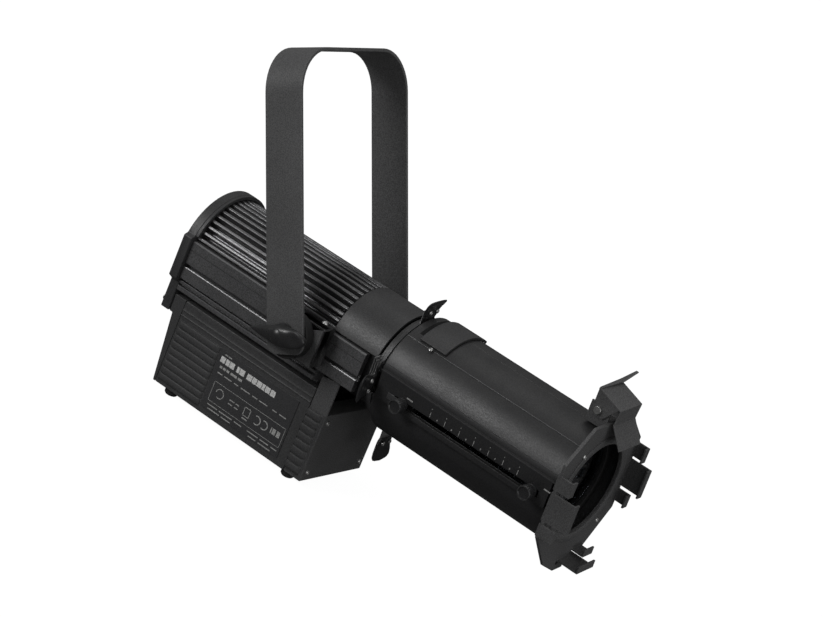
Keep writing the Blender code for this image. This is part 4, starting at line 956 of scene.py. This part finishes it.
# A near-black disc on the ear: painted shade for its hole.
hole_shade_profile = [(0.02, 0.06), (2.1, 0.06), (2.1, -0.4), (0.02, -0.4)]
ear_hole_shade = spun(hole_shade_profile, (-4.5, PLATE_FRONT, -72.0), (0, -1, 0), 24)
build("ear_hole_shade", [loft(on_barrel(ear_hole_shade))], shade_black, "barrel")
nose_screws = [((-32.6, PLATE_FRONT, 39.6), (0, -1, 0), 2.3, 15.0),
               ((38.4, PLATE_FRONT, -41.0), (0, -1, 0), 2.3, 50.0)]
nose_screws += [((sign * 34.0, -70.0, 46.2), (sign * 0.59, 0, 0.81), 1.9, 40.0) for sign in (-1, 1)]
build("nose_screws", screws(nose_screws, on_barrel), steel, "barrel", sharp_deg=50.0)


# ================================================================ latch
# A folded sheet latch hooks over the open top of the holder and swings up on a pin through its
# bracket. The pin's ends are riveted over as bright heads. A finger tab runs along its roof.
rounded("latch_bracket", cast, 0.3)
rounded("holder_latch", cast, 0.25)
rounded("latch_pin", steel, 0.4)
# The finger tab's stations along x: front and rear edge, and height of its underside.
FINGER = ((-9.0, -217.0, -214.9, 88.4), (22.5, -219.5, -214.9, 89.6), (46.0, -217.5, -214.9, 92.0))
finger = np.array([[(x, low, z), (x, high, z), (x, high, z + 1.0), (x, low, z + 1.0)]
                   for x, low, high, z in FINGER])
build("latch_finger", [loft(on_barrel(finger))], cast, "latch", edges=0.2)


# ================================================================ studio
# A pale floor, a soft key high on the left, a fill by the camera, a light square on the nose and a
# dim overhead. The floor is seen nearly white but gives back little light.
def soft_light(name, towards, distance, size, power):
    """A square area light at a distance from the middle of the object, looking at it."""
    data = bpy.data.lights.new(name, "AREA")
    data.shape = "SQUARE"
    data.size = size
    data.energy = power
    made = bpy.data.objects.new(name, data)
    bpy.context.scene.collection.objects.link(made)
    direction = np.asarray(towards, float) / np.linalg.norm(towards)
    made.location = np.array(middle) + direction * distance
    made.rotation_mode = "QUATERNION"
    made.rotation_quaternion = Vector(direction).to_track_quat("Z", "Y")
    return made


middle = (cad_low + cad_high) / 2
soft_light("key", (-0.78, 0.45, 0.44), 2.2, 0.8, 15.0)
soft_light("fill", (-0.60, -0.75, 0.30), 3.0, 1.8, 7.5)
soft_light("front", (-0.10, -1.0, 0.16), 3.0, 1.4, 15.0)
soft_light("overhead", (0.15, 0.10, 1.0), 2.4, 1.6, 6.0)

floor_mesh = bpy.data.meshes.new("floor")
floor_mesh.from_pydata([(-9, -9, 0), (9, -9, 0), (9, 9, 0), (-9, 9, 0)], [], [(0, 1, 2, 3)])
floor = bpy.data.objects.new("floor", floor_mesh)
bpy.context.scene.collection.objects.link(floor)
pale, tree, shader = fresh_material("pale_floor")
shader.inputs["Base Color"].default_value = (0.14, 0.14, 0.14, 1)
shader.inputs["Roughness"].default_value = 1.0
shader.inputs["Specular IOR Level"].default_value = 0.0
glow = node(tree, "Emission", [("Color", (1, 1, 1, 1)), ("Strength", 0.97)])
seen = node(tree, "LightPath")
both = node(tree, "AddShader", [(0, shader.outputs[0]), (1, glow.outputs[0])])
choice = node(tree, "MixShader",
              [(0, seen.outputs["Is Camera Ray"]), (1, shader.outputs[0]), (2, both.outputs[0])])
tree.links.new(choice.outputs[0], tree.nodes["Material Output"].inputs["Surface"])
floor_mesh.materials.append(pale)

world = bpy.data.worlds.new("studio")
bpy.context.scene.world = world
world.use_nodes = True
tree = world.node_tree
up = node(tree, "SeparateXYZ", [("Vector", node(tree, "TexCoord").outputs["Generated"])])
sky = spread(tree, up.outputs["Z"], -0.2, 0.9, 0.04, 0.30)
tree.links.new(sky, tree.nodes["Background"].inputs["Strength"])
tree.nodes["Background"].inputs["Color"].default_value = (1, 1, 1, 1)

AZIMUTH, ELEVATION, CAMERA_ROLL = (math.radians(a) for a in (-61.77, 18.45, 23.08))
DISTANCE = 2.221
back = np.array((math.sin(AZIMUTH) * math.cos(ELEVATION), -math.cos(AZIMUTH) * math.cos(ELEVATION),
                 math.sin(ELEVATION)))
level = np.cross((0.0, 0.0, 1.0), back)
level /= np.linalg.norm(level)
above = np.cross(back, level)
right = level * math.cos(CAMERA_ROLL) + above * math.sin(CAMERA_ROLL)
upward = above * math.cos(CAMERA_ROLL) - level * math.sin(CAMERA_ROLL)
aim = np.array(middle) + np.array((0.0, 0.0075, 0.0027))
lens = bpy.data.cameras.new("camera")
lens.sensor_width = 36.0
lens.lens = 113.73
lens.clip_end = 50.0
camera = bpy.data.objects.new("camera", lens)
bpy.context.scene.collection.objects.link(camera)
place = aim + back * DISTANCE
camera.matrix_world = Matrix([(right[i], upward[i], back[i], place[i]) for i in range(3)] + [(0, 0, 0, 1)])
bpy.context.scene.camera = camera
bpy.context.scene.view_settings.view_transform = "Standard"
